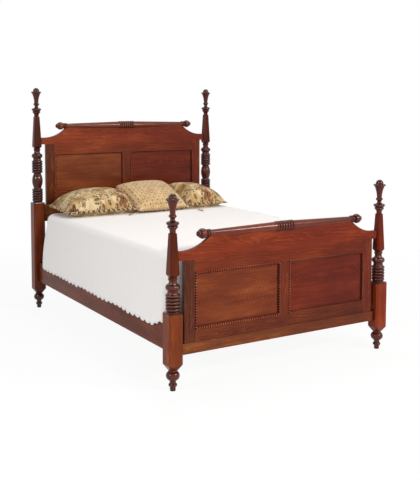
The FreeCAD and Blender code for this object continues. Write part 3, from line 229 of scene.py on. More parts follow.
def cherry(name, grain, pith, lean=(0.02, 0.01), tint=(1, 1, 1), figure=0.22, gloss=1.0, roughness=0.24,
           flats=None):
    """Stained cherry, with dark stain on its end grain and painted shade in its recesses. flats holds the
    heights of a post's block and shaft. The rest of the post is turned, and has more gloss."""
    tree = Surface(name, roughness=roughness, specular=0.11 * min(gloss, 1.3), coat=0.07 * gloss,
                   coat_roughness=max(0.08, roughness - 0.15))
    place = tree.parts(tree.position())
    axes = by_grain(place, grain)

    def streaks(slow, fast, detail, rough):
        return tree.noise(tree.stretched(axes, slow, fast), 1.0, detail, rough)

    fibres = streaks(9.0, 330.0, 4.0, 0.65)
    layers = (      # each with its weight and its middle tone
        (growth_rings(tree, axes, pith, lean), figure, 0.6),
        (fibres, 0.24, 0.5),
        (streaks(2.5, 45.0, 3.0, 0.6), 0.16, 0.5),
        (streaks(3.0, 9.0, 3.0, 0.55), 0.36, 0.5),
    )
    tone = 0.5 - sum(weight * middle for _, weight, middle in layers)
    for layer, weight, _ in layers:
        tone = tree.times_plus(layer, weight, tone)
    colour = tree.ramp(tone, ((0.33, CHERRY_DARK), (0.5, CHERRY), (0.67, CHERRY_LIGHT)))
    pores = tree.step(streaks(20.7, 759.0, 2.0, 0.5), 0.36, 0.27)
    colour = tree.mix(tree.times(pores, 0.4), colour, CHERRY_DARK)
    normal = tree.parts(tree.node("NewGeometry", {}).outputs["Normal"])
    end_grain = tree.step(tree.math("ABSOLUTE", normal["XYZ".index(grain)]), 0.1, 0.9)
    colour = tree.mix(tree.times(end_grain, 0.75), colour, CHERRY_GLAZE_AND_SHADE)
    # painted shade: the glaze colour darkens the wood where ambient occlusion finds a recess
    openness = tree.node("AmbientOcclusion", {"Distance": 0.03}, samples=8).outputs["AO"]
    colour = tree.mix(tree.times(tree.step(openness, 0.9, 0.3), 0.85), colour, CHERRY_GLAZE_AND_SHADE)
    # the part's tint: its own tone, together with painted light and shade
    colour = tree.tinted(colour, (*tint, 1))
    if flats:
        off_block, off_shaft = (tree.outside(place[2], low, high, 0.015) for low, high in flats)
        colour = tree.mix(off_block, colour, tree.tinted(colour, TURNED_DARKENING))
        turned = tree.times(off_block, off_shaft)
        tree.feed(tree.shader.inputs["Coat Weight"], tree.times_plus(turned, TURNED_COAT, FLAT_COAT))
    # painted light and shade: paler towards the bed's left, darker towards its right
    side = tree.step(place[0], -BED_SIDE, BED_SIDE)
    tree.colour(tree.tinted(colour, tree.mix(side, PAINTED_LIGHT_SIDE, SHADED_SIDE)))
    tree.bump(fibres, 0.0002, 0.5)
    return tree.material


def plain_wood(name, grain):
    """Sanded softwood for the slats, ledgers and legs."""
    tree = Surface(name, roughness=0.62)
    axes = by_grain(tree.parts(tree.position()), grain)
    grain_lines = tree.noise(tree.stretched(axes, 2.5, 60.0), 1.0, 4.0, 0.6, 0.6)
    tree.colour(tree.ramp(grain_lines, ((0.3, srgb(176, 133, 88)), (0.5, srgb(203, 166, 118)),
                                        (0.75, srgb(217, 186, 142)))))
    tree.bump(grain_lines, 0.0003, 0.4)
    return tree.material


def metal(name, tint, roughness):
    """Bare metal with fine scratches."""
    tree = Surface(name, roughness=roughness, metallic=1.0)
    scratches = tree.noise(tree.scaled(tree.position(), (40, 40, 900)), 1.0, 3.0)
    dull = tuple(channel * 0.8 for channel in tint)
    tree.colour(tree.ramp(scratches, ((0.3, (*dull, 1)), (0.7, (*tint, 1)))))
    tree.bump(scratches, 0.00005, 0.5)
    return tree.material


# ---------------- Cloth

def weave_height(tree, place, pitch):
    """Threads over and under each other at a pitch in metres, from two crossed waves."""
    x, y, _ = tree.parts(place)
    turn = 2 * math.pi / pitch
    return tree.times(tree.math("SINE", tree.times(x, turn)), tree.math("SINE", tree.times(y, turn)))


def white_cotton():
    """The coverlet's cloth: matt white with soft creases."""
    tree = Surface("white_cotton", roughness=0.85, sheen=0.15)
    place = tree.position()
    slubs = tree.noise(tree.scaled(place, (60, 60, 60)), 1.0, 4.0)
    tree.colour(tree.ramp(slubs, ((0.3, srgb(238, 235, 234)), (0.7, srgb(241, 239, 238)))))
    tree.bump(tree.noise(place, 5.0, 2.0, 0.4, 0.4), 0.008, 0.25)
    tree.bump(tree.noise(place, 900.0, 1.0), 0.0002, 0.3)
    return tree.material


def ticking():
    """Mattress and box spring cover: cream cloth with a woven stripe."""
    tree = Surface("ticking", roughness=0.8, sheen=0.1)
    place = tree.position()
    x, y, _ = tree.parts(place)
    stripe = tree.math("PINGPONG", tree.plus(x, y), 0.016)
    line = tree.step(stripe, 0.0022, 0.0012)
    tree.colour(tree.mix(line, srgb(229, 224, 213), srgb(160, 160, 158)))
    tree.bump(tree.noise(place, 260.0, 2.0), 0.0004, 0.5)
    return tree.material


LEAF_KINDS = (      # scale, reach in its cell, share of the cloth without it, dark and light colour
    (36.0, 0.42, 0.5, srgb(54, 48, 30), srgb(100, 88, 54)),
    (54.0, 0.38, 0.52, srgb(88, 62, 36), srgb(126, 102, 64)),
)
BLOSSOM_SCALE, BLOSSOM_PETALS, BLOSSOM_SIZE = 6.4, 5, 0.27


def blossom_mask(tree, cell, petals, size):
    """A flower in each cell: petals round its middle. Returns its mask and the distance from its middle."""
    x, y, _ = tree.parts(cell)
    angle = tree.math("ARCTAN2", y, x)
    lobes = tree.math("ABSOLUTE", tree.math("COSINE", tree.times(angle, petals / 2)))
    reach = tree.times_plus(lobes, size * 0.5, size * 0.55)
    radius = tree.distance(x, y)
    return tree.step(tree.minus(radius, reach), 0.012, -0.012), radius


def offset_in_cell(tree, place, scale, found):
    """Where a point lies from the middle of its cell, in cells."""
    scaled = tree.scaled(place, (scale, scale, 0))
    middle = tree.scaled(found.outputs["Position"], (scale, scale, 0))
    return tree.node("VectorMath", {0: scaled, 1: middle}, operation="SUBTRACT").outputs[0]


def floral_print():
    """A generic print of blossoms and leaf sprigs on cream and gold."""
    tree = Surface("floral_print", roughness=0.85, sheen=0.1)
    flat = tree.attribute("cloth_place")
    wobble = tree.node("TexNoise", {"Vector": flat, "Scale": 26.0, "Detail": 2.0}).outputs["Color"]
    place = tree.node("VectorMath", {0: wobble, 1: (0.022, 0.022, 0), 2: flat},
                      operation="MULTIPLY_ADD").outputs[0]
    cloud = tree.noise(place, 11.0, 3.0, 0.5, 0.5)
    colour = tree.ramp(cloud, ((0.34, srgb(138, 104, 58)), (0.47, srgb(180, 148, 98)),
                               (0.6, srgb(210, 188, 150))))
    for scale, reach, gate, dark, light in LEAF_KINDS:
        leaf_cells = tree.cells(tree.scaled(place, (1, 2.0, 1)), scale)
        leaves = tree.step(leaf_cells.outputs["Distance"], reach, reach - 0.12)
        sprig = tree.step(tree.noise(place, 10.0 + scale / 10, 1.0), gate, gate + 0.05)
        tint = tree.mix(tree.parts(leaf_cells.outputs["Color"])[0], dark, light)
        colour = tree.mix(tree.times(tree.times(leaves, sprig), 0.9), colour, tint)
    flowers = tree.cells(place, BLOSSOM_SCALE)
    in_flower = offset_in_cell(tree, place, BLOSSOM_SCALE, flowers)
    mask, radius = blossom_mask(tree, in_flower, BLOSSOM_PETALS, BLOSSOM_SIZE)
    shown = tree.step(tree.parts(flowers.outputs["Color"])[1], 0.2, 0.23)
    petal = tree.mix(tree.parts(flowers.outputs["Color"])[0], srgb(84, 48, 28), srgb(124, 78, 48))
    petal = tree.mix(tree.step(radius, 0.12, 0.05), petal, srgb(62, 38, 24))
    veins = tree.noise(place, 120.0, 2.0)
    petal = tree.mix(tree.step(veins, 0.54, 0.66), petal, srgb(164, 124, 84))
    tree.colour(tree.mix(tree.times(mask, shown), colour, petal))
    tree.bump(weave_height(tree, flat, 0.0016), 0.0003, 0.4)
    tree.bump(tree.noise(flat, 30.0, 3.0), 0.002, 0.3)
    return tree.material


LATTICE_PITCH = 0.050


def lattice_weave():
    """Tan cloth woven in a raised lattice, with a dark nick where its lines cross."""
    tree = Surface("lattice_weave", roughness=0.78, sheen=0.25)
    flat = tree.attribute("cloth_place")
    x, y, _ = tree.parts(flat)
    rising, falling = (tree.math("WRAP", diagonal, LATTICE_PITCH / 2, -LATTICE_PITCH / 2)
                       for diagonal in (tree.plus(x, y), tree.minus(x, y)))
    nearest = tree.math("MINIMUM", tree.math("ABSOLUTE", rising), tree.math("ABSOLUTE", falling))
    line = tree.step(nearest, 0.0055, 0.0025)
    aside = tree.times(tree.plus(rising, falling), 0.5)
    ahead = tree.times(tree.minus(rising, falling), 0.36)
    nick = tree.step(tree.distance(aside, ahead), 0.0068, 0.0040)
    colour = tree.ramp(tree.noise(flat, 16.0, 3.0), ((0.3, srgb(172, 138, 92)), (0.5, srgb(192, 160, 112)),
                                                     (0.7, srgb(206, 178, 134))))
    colour = tree.mix(tree.times(line, 0.45), colour, srgb(238, 214, 172))
    tree.colour(tree.mix(tree.times(nick, 0.9), colour, srgb(104, 74, 42)))
    tree.bump(tree.step(nearest, 0.0, 0.012), 0.004, 0.7)
    tree.bump(weave_height(tree, flat, 0.0022), 0.0004, 0.5)
    return tree.material


def twisted_yarn(name, colour):
    """Yarn for trims and tassels, with painted shade between its strands."""
    tree = Surface(name, roughness=0.8, sheen=0.2)
    strands = tree.noise(tree.position(), 420.0, 2.0)
    # painted shade: darker where the strands' bump is low
    dark = tuple(channel * 0.62 for channel in colour[:3])
    tree.colour(tree.ramp(strands, ((0.35, (*dark, 1)), (0.6, colour))))
    tree.bump(strands, 0.0006, 0.6)
    return tree.material


# ---------------- Meshes

def add_object(name, data):
    obj = bpy.data.objects.new(name, data)
    bpy.context.scene.collection.objects.link(obj)
    return obj


def add_piece(name, data, material):
    """A new piece of the bed's body, with one material."""
    obj = add_object(name, data)
    data.materials.append(material)
    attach(obj, BODY)
    return obj


def made_object(name, skin, material, smooth=True):
    """A piece from a skin, which is a list of vertices and a list of faces."""
    vertices, faces = skin
    mesh = bpy.data.meshes.new(name)
    mesh.from_pydata([tuple(v) for v in vertices], [], faces)
    mesh.validate()
    mesh.update()
    mesh.polygons.foreach_set("use_smooth", [smooth] * len(mesh.polygons))
    return add_piece(name, mesh, material)


def ring_round(centre, side, over, radius, count):
    """Points round a centre, in the plane of two directions."""
    turns = (2 * math.pi * k / count for k in range(count))
    return [centre + (side * math.cos(turn) + over * math.sin(turn)) * radius for turn in turns]


def loft(rings, skin=None, first_cap=True, last_cap=True):
    """Quads between closed rings of points, and flat caps on the first and last, added to a skin."""
    vertices, faces = skin = skin or ([], [])
    base, count = len(vertices), len(rings[0])
    last = base + (len(rings) - 1) * count
    vertices += [point for ring in rings for point in ring]
    for start in range(base, last, count):
        for i in range(count):
            j = (i + 1) % count
            faces.append((start + i, start + j, start + count + j, start + count + i))
    if first_cap:
        faces.append(tuple(reversed(range(base, base + count))))
    if last_cap:
        faces.append(tuple(range(last, last + count)))
    return skin


def bake_modifiers(obj):
    """Turns what the modifiers show into the object's own mesh."""
    evaluated = obj.evaluated_get(bpy.context.evaluated_depsgraph_get())
    mesh = bpy.data.meshes.new_from_object(evaluated)
    obj.modifiers.clear()
    obj.data = mesh


def tube(name, points, radius, material, closed=False):
    """A round cord along points."""
    curve = configure(bpy.data.curves.new(name, "CURVE"), dimensions="3D", bevel_depth=radius,
                      bevel_resolution=1, use_fill_caps=True)
    spline = curve.splines.new("POLY")
    spline.points.add(len(points) - 1)
    for place, point in zip(spline.points, points):
        place.co = (*point, 1)
    spline.use_cyclic_u = closed
    return add_piece(name, curve, material)


def running_lengths(points):
    """How far along a path each of its points lies."""
    lengths = [0.0]
    for first, second in zip(points, points[1:]):
        lengths.append(lengths[-1] + (second - first).length)
    return lengths


def rounded_outline(half_x, low_y, high_y, low_radius, high_radius, counts):
    """Points round a rectangle with round corners, each with its outward direction and its stretch's name.
    counts gives how many points lie on a side, an end and a corner."""
    on_side, on_end, on_corner = counts
    low_x, low_y = half_x - low_radius, low_y + low_radius
    high_x, high_y = half_x - high_radius, high_y - high_radius
    stretches = (       # a straight, its points, the corner after it, and that corner's middle and radius
        ("right", on_side, "head_corner", Vector((high_x, high_y)), high_radius),
        ("head", on_end, "head_corner", Vector((-high_x, high_y)), high_radius),
        ("left", on_side, "foot_corner", Vector((-low_x, low_y)), low_radius),
        ("foot", on_end, "foot_corner", Vector((low_x, low_y)), low_radius),
    )
    before, before_radius = stretches[-1][3:]
    points = []
    for quarter, (straight, number, corner, middle, radius) in enumerate(stretches):
        angles = [math.pi / 2 * (quarter + k / on_corner) for k in range(on_corner)]
        outs = [Vector((math.cos(angle), math.sin(angle))) for angle in angles]
        start, finish = before + outs[0] * before_radius, middle + outs[0] * radius
        points += [(start.lerp(finish, k / number), outs[0], straight) for k in range(number)]
        points += [(middle + out * radius, out, corner) for out in outs]
        before, before_radius = middle, radius
    return points


# ---------------- Wood and metal of the CAD nodes

def paint(node, material):
    nodes[node].data.materials.clear()
    nodes[node].data.materials.append(material)


def stain(node, *cut, **finish):
    paint(node, cherry(f"cherry_{node}", *cut, **finish))


def soften_edges(node, width):
    """A small round on a board's arrises, which catches the light."""
    configure(nodes[node].modifiers.new("weld", "WELD"), merge_threshold=0.00001)
    configure(nodes[node].modifiers.new("arris", "BEVEL"), width=width, segments=2, limit_method="ANGLE",
              angle_limit=math.radians(40), use_clamp_overlap=True)


POST_X, POST_Y = 0.795, 1.1         # from the bed's middle to the posts' middles
# The heights between which a post is a square block, and an eight-sided shaft
POST_FLATS = {"foot": ((0.12, 0.446), (0.66, 0.92)), "head": ((0.12, 0.844), (1.29, 1.57))}
# Each post's tint, and each stile's below, is partly the wood's own tone and partly painted light and shade;
# the left stiles' dark tint is painted shade.
POST_TINTS = {("foot", "left"): (1.2, 1.25, 0.8), ("foot", "right"): (1.85, 1.65, 1.1),
              ("head", "left"): (0.8, 0.72, 0.65), ("head", "right"): (1.2, 1.1, 1.0)}
STILE_TINTS = {"left": (0.62, 0.75, 0.78), "right": (1.1, 1, 0.9)}
HEAD_TINT = (1.08, 1.3, 1.45)       # the head's boards are this much paler
# Each board's grain, pith, lean, tint and figure. The pith is given towards the head and above the middle, or
# for the upright muntin to the right and towards the head.
# A board's tint is partly its own tone and partly painted light and shade.
BOARD_CUTS = {
    "cross_rail": ("X", (0.09, -0.02), (0.01, 0.02), (1.15, 1.6, 1.3), 0.12),
    "bottom_rail": ("X", (0.11, -0.05), (0.01, 0.015), (0.88, 0.92, 0.8), 0.16),
    "top_rail": ("X", (0.10, 0.06), (0.008, 0.012), (1.08, 0.9, 0.7), 0.14),
    "scroll_board": ("X", (0.09, 0.02), (0.03, 0.03), (1.25, 0.95, 0.75), 0.16),
    "roll": ("X", (0.02, 0.02), (0.01, 0.01), (0.9, 0.7, 0.5), 0.1),
    "muntin": ("Z", (0.02, 0.08), (0.01, 0.01), (0.95, 0.85, 0.75), 0.14),
    "panel_left": ("X", (-0.262, -0.03), (0.35, 0.03), (1.1, 1.15, 0.95), 0.27),
    "panel_right": ("X", (0.06, 0.03), (0.05, -0.06), (0.9, 0.6, 0.5), 0.14),
    # the mouldings' dark tint is painted shade in the gaps between the beads
    "moulding_left": ("X", (0.0, 0.0), (0.01, 0.01), (0.3, 0.28, 0.28), 0.1),
    "moulding_right": ("X", (0.0, 0.0), (0.01, 0.01), (0.3, 0.28, 0.28), 0.1),
}
GLOSSES = {"roll": (5.0, 0.3), "moulding": (0.15, 0.5)}     # gloss and roughness
PLAIN_GLOSS = (1.0, 0.24)
POST_PITH, STILE_PITH = (0.055, -0.03), (0.02, 0.10)        # from their middles
STILE_SHARE, RAIL_SHARE = 0.87, 0.9     # of a post's distance from the bed's middle
RAIL_PITH_HEIGHT = 0.33
ARRIS, RAIL_ARRIS = 0.0014, 0.002


def stain_boards(end, y):
    """Each board of an end gets its own cut of the tree."""
    paler = HEAD_TINT if end == "head" else (1, 1, 1)
    for board, (grain, (near, up), lean, tint, figure) in BOARD_CUTS.items():
        node = f"{end}_{board}"
        low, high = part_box(node)
        pith = (y + near, (low.z + high.z) / 2 + up) if grain == "X" else (near, y + up)
        tint = tuple(share * more for share, more in zip(tint, paler))
        gloss, roughness = GLOSSES.get(board.split("_")[0], PLAIN_GLOSS)
        stain(node, grain, pith, lean, tint, figure, gloss, roughness)
        if board.endswith(("rail", "board", "muntin")):
            soften_edges(node, ARRIS)


def stain_frame():
    for side, x in zip(SIDES, (-POST_X, POST_X)):
        for end, y in zip(ENDS, (-POST_Y, POST_Y)):
            stain(f"{end}_post_{side}", "Z", (x + POST_PITH[0], y + POST_PITH[1]), (0.012, 0.01),
                  POST_TINTS[end, side], roughness=0.22, flats=POST_FLATS[end])
            stain(f"{end}_stile_{side}", "Z", (x * STILE_SHARE + STILE_PITH[0], y + STILE_PITH[1]),
                  (0.01, 0.012), STILE_TINTS[side])
            soften_edges(f"{end}_stile_{side}", ARRIS)
        # the side rails' darker tint is painted shade
        stain(f"side_rail_{side}", "Y", (x * RAIL_SHARE, RAIL_PITH_HEIGHT), (0.008, 0.02), (0.8, 0.8, 0.8),
              0.16, gloss=0.6)
        soften_edges(f"side_rail_{side}", RAIL_ARRIS)
    for end, y in zip(ENDS, (-POST_Y, POST_Y)):
        stain_boards(end, y)


def finish_hardware():
    """What is hidden or let in: slats, ledgers, legs, dowels, screws, plates and levellers."""
    across, along, upright = (plain_wood(f"softwood_{axis}", axis) for axis in "XYZ")
    zinc = metal("zinc", (0.62, 0.62, 0.63), 0.34)
    brass = metal("brass", (0.72, 0.53, 0.26), 0.3)
    for node in nodes:
        if node.startswith("slat_") and node != "slat_screws":
            paint(node, across)
        elif node in ("ledger_left", "ledger_right"):
            paint(node, along)
        elif node.startswith("centre_leg") or node.endswith("dowels"):
            paint(node, upright)
        elif node.endswith(("screws", "plates")) or node.startswith("leveller"):
            paint(node, zinc)
        elif node == "leg_inserts":
            paint(node, brass)


# ---------------- Carved beads on the panel mouldings

BEAD_PITCH = 0.0162
BEAD_HALF_LENGTH, BEAD_RADIUS = 0.0064, 0.0074
BEAD_IN = 0.00575          # from the moulding's outer edge to the middle of its half round
BEAD_OUT = 0.0068          # from the panel's face to the same
FILLET_IN, FILLET_WIDTH, FILLET_OUT = 0.0118, 0.0052, 0.0045
FILLET_BACK = 0.0003
BEAD_PITH, BEAD_LEAN = (1.1, 0.5), (0.01, 0.01)


def bead_rings():
    """One carved bead about its middle, with its length along X."""
    rings, sides, tip = 6, 10, 0.0004
    made = []
    for ring in range(rings + 1):
        angle = math.pi * ring / rings
        radius = BEAD_RADIUS * math.sin(angle) ** 0.8 if 0 < ring < rings else tip
        made.append(ring_round(Vector((-math.cos(angle) * BEAD_HALF_LENGTH, 0, 0)), ALONG, UP, radius, sides))
    return made


def moulding_corners(node, inset, out):
    """The corners of a rectangle inside a moulding's outer edge, at a distance from the panel's face."""
    low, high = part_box(node)
    y = high.y - out
    return [Vector((low.x + inset, y, low.z + inset)), Vector((high.x - inset, y, low.z + inset)),
            Vector((high.x - inset, y, high.z - inset)), Vector((low.x + inset, y, high.z - inset))]


def carved_beads(end, side):
    """A row of beads along each of a panel's four sticks, and the plain fillet inside it, both tinted pale as
    a painted highlight.
    """
    node = f"{end}_moulding_{side}"
    corners = moulding_corners(node, BEAD_IN, BEAD_OUT)
    template, beads = bead_rings(), ([], [])
    for start, finish in zip(corners, corners[1:] + corners[:1]):
        run = finish - start
        count = round(run.length / BEAD_PITCH)
        direction = run.normalized()
        turn = Matrix((direction, ALONG, direction.cross(ALONG))).transposed()
        for number in range(count):
            place = start + run * ((number + 0.5) / count)
            loft([[place + turn @ point for point in ring] for ring in template], beads)
    cut = ("X", BEAD_PITH, BEAD_LEAN)
    # the beads' pale tint is a painted highlight
    wood = cherry(f"cherry_beads_{end}_{side}", *cut, tint=(2.4, 2.4, 2.4), gloss=2.5)
    made_object(f"beads_{end}_{side}", beads, wood)
    # the fillet's pale tint is a painted highlight line
    wood = cherry(f"cherry_fillet_{end}_{side}", *cut, tint=(2.2, 2.2, 2.2), gloss=2.5, roughness=0.35)
    edges = ((FILLET_IN, FILLET_OUT), (FILLET_IN + FILLET_WIDTH, FILLET_OUT),
             (FILLET_IN + FILLET_WIDTH, FILLET_BACK))
    strip = loft([moulding_corners(node, *edge) for edge in edges], first_cap=False, last_cap=False)
    made_object(f"fillet_{end}_{side}", strip, wood, smooth=False)


# ---------------- Coverlet

COVERLET_EDGE = 0.052
COVERLET_TOP_HALF = 0.767
COVERLET_FOOT_RADIUS, COVERLET_HEAD_RADIUS = 0.07, 0.085
COVERLET_COUNTS = (340, 150, 12)
SIDE_HEM, FOOT_HEM = 0.357, 0.383
HEAD_DROP = 0.07
SCALLOP_PITCH, SCALLOP_DEPTH = 0.064, 0.018
CLOTH_THICKNESS, EDGING_RADIUS = 0.0035, 0.0022
SAG_PLACE, LIFT_PLACE = -0.86, -0.885       # along the bed, where a side's hem sags and then lifts


def coverlet_hem(place, stretch, travelled):
    """Height of the hem at a place on the outline: scalloped, sagging near the foot and lifted over the rail
    where it turns the corner by the post. At the head the skirt is short, and the height is left open."""
    uneven = 1 + 0.5 * noise.noise(Vector((math.floor(travelled / SCALLOP_PITCH) * 1.37, 0.5, 0)))
    scallop = SCALLOP_DEPTH * uneven * abs(math.sin(math.pi * travelled / SCALLOP_PITCH)) ** 0.8
    if stretch in ("left", "right"):
        near_foot = math.exp(-((place.y - SAG_PLACE) / 0.10) ** 2)
        lift = min(max(0.0, (LIFT_PLACE - place.y) / 0.085), 1.2)
        return SIDE_HEM + 0.006 - 0.008 * near_foot + 0.018 * lift - scallop * (1 - 0.5 * lift)
    if stretch in ("foot_corner", "foot"):
        return FOOT_HEM + 0.004 - scallop * 0.3
    return None


def coverlet_top_rings(crest, top):
    """The sheet's top, from its middle outwards, and its soft shoulder."""
    steps = [(share, 0.0) for share in np.linspace(0.02, 1, 26)]
    steps += [(1.0, angle) for angle in np.radians(np.linspace(12, 78, 6))]
    rings = []
    for share, angle in steps:
        ring = []
        for place, out, _ in crest:
            flat = (place - out * COVERLET_EDGE) * share + out * (COVERLET_EDGE * math.sin(angle))
            spot = Vector((flat.x, flat.y, top - COVERLET_EDGE * (1 - math.cos(angle))))
            ring.append(spot + UP * coverlet_swell(spot) * math.cos(angle))
        rings.append(ring)
    return rings


def coverlet_skirt_rings(crest, hem, low, top, levels=18):
    """The skirts, from the shoulder down to the hem."""
    travelled = running_lengths([place for place, _, _ in hem])
    crest_height = top - COVERLET_EDGE
    rings = []
    for level in range(levels + 1):
        ring = []
        for (place, out, stretch), (hem_place, _, _), along in zip(crest, hem, travelled):
            bottom = coverlet_hem(hem_place, stretch, along)
            if bottom is None:
                bottom = top - HEAD_DROP + 0.004 * math.sin(along * 9)
            height = crest_height - (crest_height - bottom) * (level / levels)
            share = min((crest_height - height) / (crest_height - low), 1.0)
            flat = place.lerp(hem_place, 1 - (1 - share) ** 2) + out * coverlet_fold(along, share)
            ring.append(Vector((flat.x, flat.y, height)))
        rings.append(ring)
    return rings


def coverlet():
    """One sheet: its top, a soft shoulder, and skirts that hang outside the rails."""
    low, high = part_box("coverlet")
    top, half_hem = high.z, high.x - 0.001
    radii = (COVERLET_FOOT_RADIUS, COVERLET_HEAD_RADIUS)
    crest = rounded_outline(COVERLET_TOP_HALF, -high.y, high.y, *radii, COVERLET_COUNTS)
    hem = rounded_outline(half_hem, low.y, high.y, *radii, COVERLET_COUNTS)
    rings = coverlet_top_rings(crest, top) + coverlet_skirt_rings(crest, hem, low.z, top)
    cotton = white_cotton()
    sheet = made_object("coverlet_cloth", loft(rings, last_cap=False), cotton)
    configure(sheet.modifiers.new("thickness", "SOLIDIFY"), thickness=CLOTH_THICKNESS, offset=-1)
    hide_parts("coverlet")
    edging = tube("coverlet_edging", rings[-1], EDGING_RADIUS, cotton, closed=True)


def coverlet_swell(spot):
    """Soft unevenness of the top, in metres."""
    broad = noise.noise(Vector((spot.x * 2.1, spot.y * 2.1, 0.3)))
    fine = noise.noise(Vector((spot.x * 7.0, spot.y * 5.0, 4.1)))
    return 0.0012 + 0.0016 * broad + 0.0008 * fine


def coverlet_fold(along, share):
    """How far a skirt stands out in its soft folds."""
    broad = 0.5 + 0.5 * math.sin(along * 2 * math.pi / 0.46 + 1.8 * noise.noise(Vector((along * 1.3, 0, 0))))
    fine = 0.5 + 0.5 * noise.noise(Vector((along * 6.5, 2.0, 0)))
    return (0.0045 * broad + 0.0025 * fine) * max(share, 0.0) ** 1.2


# ---------------- Mattress and box spring

PAD_COUNTS = (24, 18, 8)
PIPING_RADIUS = 0.004


def padded_block(node, corner, edge, bulge, material):
    """A cover with round corners and edges and sides that swell a little."""
    low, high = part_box(node)
    middle = (low.z + high.z) / 2
    lower = [(low.z, edge)]         # each ring's height, and how far its round edge draws it in
    for angle in np.radians(np.linspace(15, 90, 6)):
        lower.append((low.z + edge * (1 - math.cos(angle)), edge * (1 - math.sin(angle))))
    side = [(low.z + edge + (high.z - low.z - 2 * edge) * k / 6, 0.0) for k in range(1, 6)]
    upper = [(2 * middle - z, inset) for z, inset in reversed(lower)]
    rings = []
    for z, inset in lower + side + upper:
        swell = bulge * (1 - ((z - middle) / (high.z - middle)) ** 2)
        outline = rounded_outline(high.x - bulge - inset + swell, low.y + bulge + inset - swell,
                                  high.y - bulge - inset + swell, corner, corner, PAD_COUNTS)
        rings.append([Vector((place.x, place.y, z)) for place, _, _ in outline])
    block = made_object(f"{node}_cover", loft(rings), material)
    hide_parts(node)
    for name, ring in (("low", rings[3]), ("high", rings[-4])):
        tube(f"{node}_piping_{name}", ring, PIPING_RADIUS, material, closed=True)


# ---------------- Pillows

CORNER_BLUNT = 0.06


class Cushion:
    """A cushion in its own frame: X along its width, Y along its depth, Z through its crown."""

    def __init__(self, width, depth, rise, fall, pull, placement):
        self.width, self.depth, self.rise, self.fall, self.pull = width, depth, rise, fall, pull
        self.placement = placement

    def outline_point(self, u, v):
        """The flat place of a share of the half width and depth: the edges draw in between the corners."""
        blunt = 1 - CORNER_BLUNT * u * u * v * v
        x = u * self.width / 2 * (1 - self.pull * (1 - v * v) * 0.6) * blunt
        y = v * self.depth / 2 * (1 - self.pull * (1 - u * u)) * blunt
        return x, y

    def fullness(self, u, v):
        """The crown's share of its height: 1 in the middle and 0 at the seam."""
        across = max(0.0, 1 - abs(u) ** 2.4) ** 0.62
        along = max(0.0, 1 - abs(v) ** 2.2) ** 0.62
        return across * along

    def mesh(self, name, material, slot, cells=(46, 30)):
        """Two crowned faces that meet at the seam."""
        columns, rows = cells
        vertices, faces, index = [], [], {}
        for layer, height in ((1, self.rise), (-1, -self.fall)):
            for i in range(columns + 1):
                for j in range(rows + 1):
                    on_seam = i in (0, columns) or j in (0, rows)
                    if on_seam and layer == -1:
                        index[layer, i, j] = index[1, i, j]
                        continue
                    u = math.sin(math.pi / 2 * (2 * i / columns - 1))
                    v = math.sin(math.pi / 2 * (2 * j / rows - 1))
                    x, y = self.outline_point(u, v)
                    index[layer, i, j] = len(vertices)
                    vertices.append(Vector((x, y, height * self.fullness(u, v))))
            for i in range(columns):
                for j in range(rows):
                    face = (index[layer, i, j], index[layer, i + 1, j], index[layer, i + 1, j + 1],
                            index[layer, i, j + 1])
                    faces.append(face if layer == 1 else tuple(reversed(face)))
        return made_object(name, (vertices, faces), material)

    def seam(self, points):
        """Points round the seam in the cushion's frame."""
        made = []
        for k in range(points):
            angle = 2 * math.pi * k / points
            u, v = math.cos(angle), math.sin(angle)
            reach = max(abs(u), abs(v))
            x, y = self.outline_point(u / reach, v / reach)
            made.append(Vector((x, y, 0)))
        return made


INFLATE_FRAMES = 20


def places_of(obj):
    return np.array([vertex.co for vertex in obj.data.vertices])


def inflate(obj, voxel, pressure, cap):
    """Fills a closed cloth with air for a moment, so that it tightens and wrinkles as sewn fabric does.
    No point moves by more than cap."""
    configure(obj.modifiers.new("remesh", "REMESH"), mode="VOXEL", voxel_size=voxel)
    bake_modifiers(obj)
    start = places_of(obj)
    cloth = obj.modifiers.new("cloth", "CLOTH").settings
    configure(cloth, quality=5, mass=0.25, tension_stiffness=8, compression_stiffness=8,
              bending_stiffness=0.3, use_pressure=True, uniform_pressure_force=pressure)
    cloth.effector_weights.gravity = 0
    scene = bpy.context.scene
    for step in range(1, INFLATE_FRAMES + 1):
        scene.frame_set(step)
    move = places_of(obj.evaluated_get(bpy.context.evaluated_depsgraph_get())) - start
    obj.modifiers.clear()
    scene.frame_set(1)
    length = np.linalg.norm(move, axis=1, keepdims=True)
    move *= np.minimum(1.0, cap / np.maximum(length, 1e-9))
    obj.data.vertices.foreach_set("co", (start + move).astype(np.float32).ravel())
    obj.data.update()


FACE_SHIFT = 0.9        # keeps the pattern of a cushion's front apart from its back's


def set_cloth_place(obj):
    """Keeps each point's place on the flat cloth, which the printed and woven patterns follow."""
    places = places_of(obj)
    places[:, :2] += np.sign(places[:, 2:]) * FACE_SHIFT
    places[:, 2] = 0
    attribute = obj.data.attributes.new("cloth_place", "FLOAT_VECTOR", "POINT")
    attribute.data.foreach_set("vector", places.astype(np.float32).ravel())


def rest_on(obj, height):
    """Flattens what would lie below a level."""
    for vertex in obj.data.vertices:
        vertex.co.z = max(vertex.co.z, height)


def press_under(obj, upper, gap=0.002, reach=0.05):
    """Pushes a cushion's cloth below the one that lies on it."""
    into = upper.placement.inverted()
    for vertex in obj.data.vertices:
        spot = into @ vertex.co
        outside = max(abs(spot.x) - upper.width / 2, abs(spot.y) - upper.depth / 2, 0.0)
        if outside > reach:
            continue
        shares = (spot.x / (upper.width / 2), spot.y / (upper.depth / 2))
        u, v = (max(-1.0, min(1.0, share)) for share in shares)
        under = -upper.fall * upper.fullness(u, v) - gap + outside * 1.6
        if spot.z > under:
            spot.z = under
            vertex.co = upper.placement @ spot


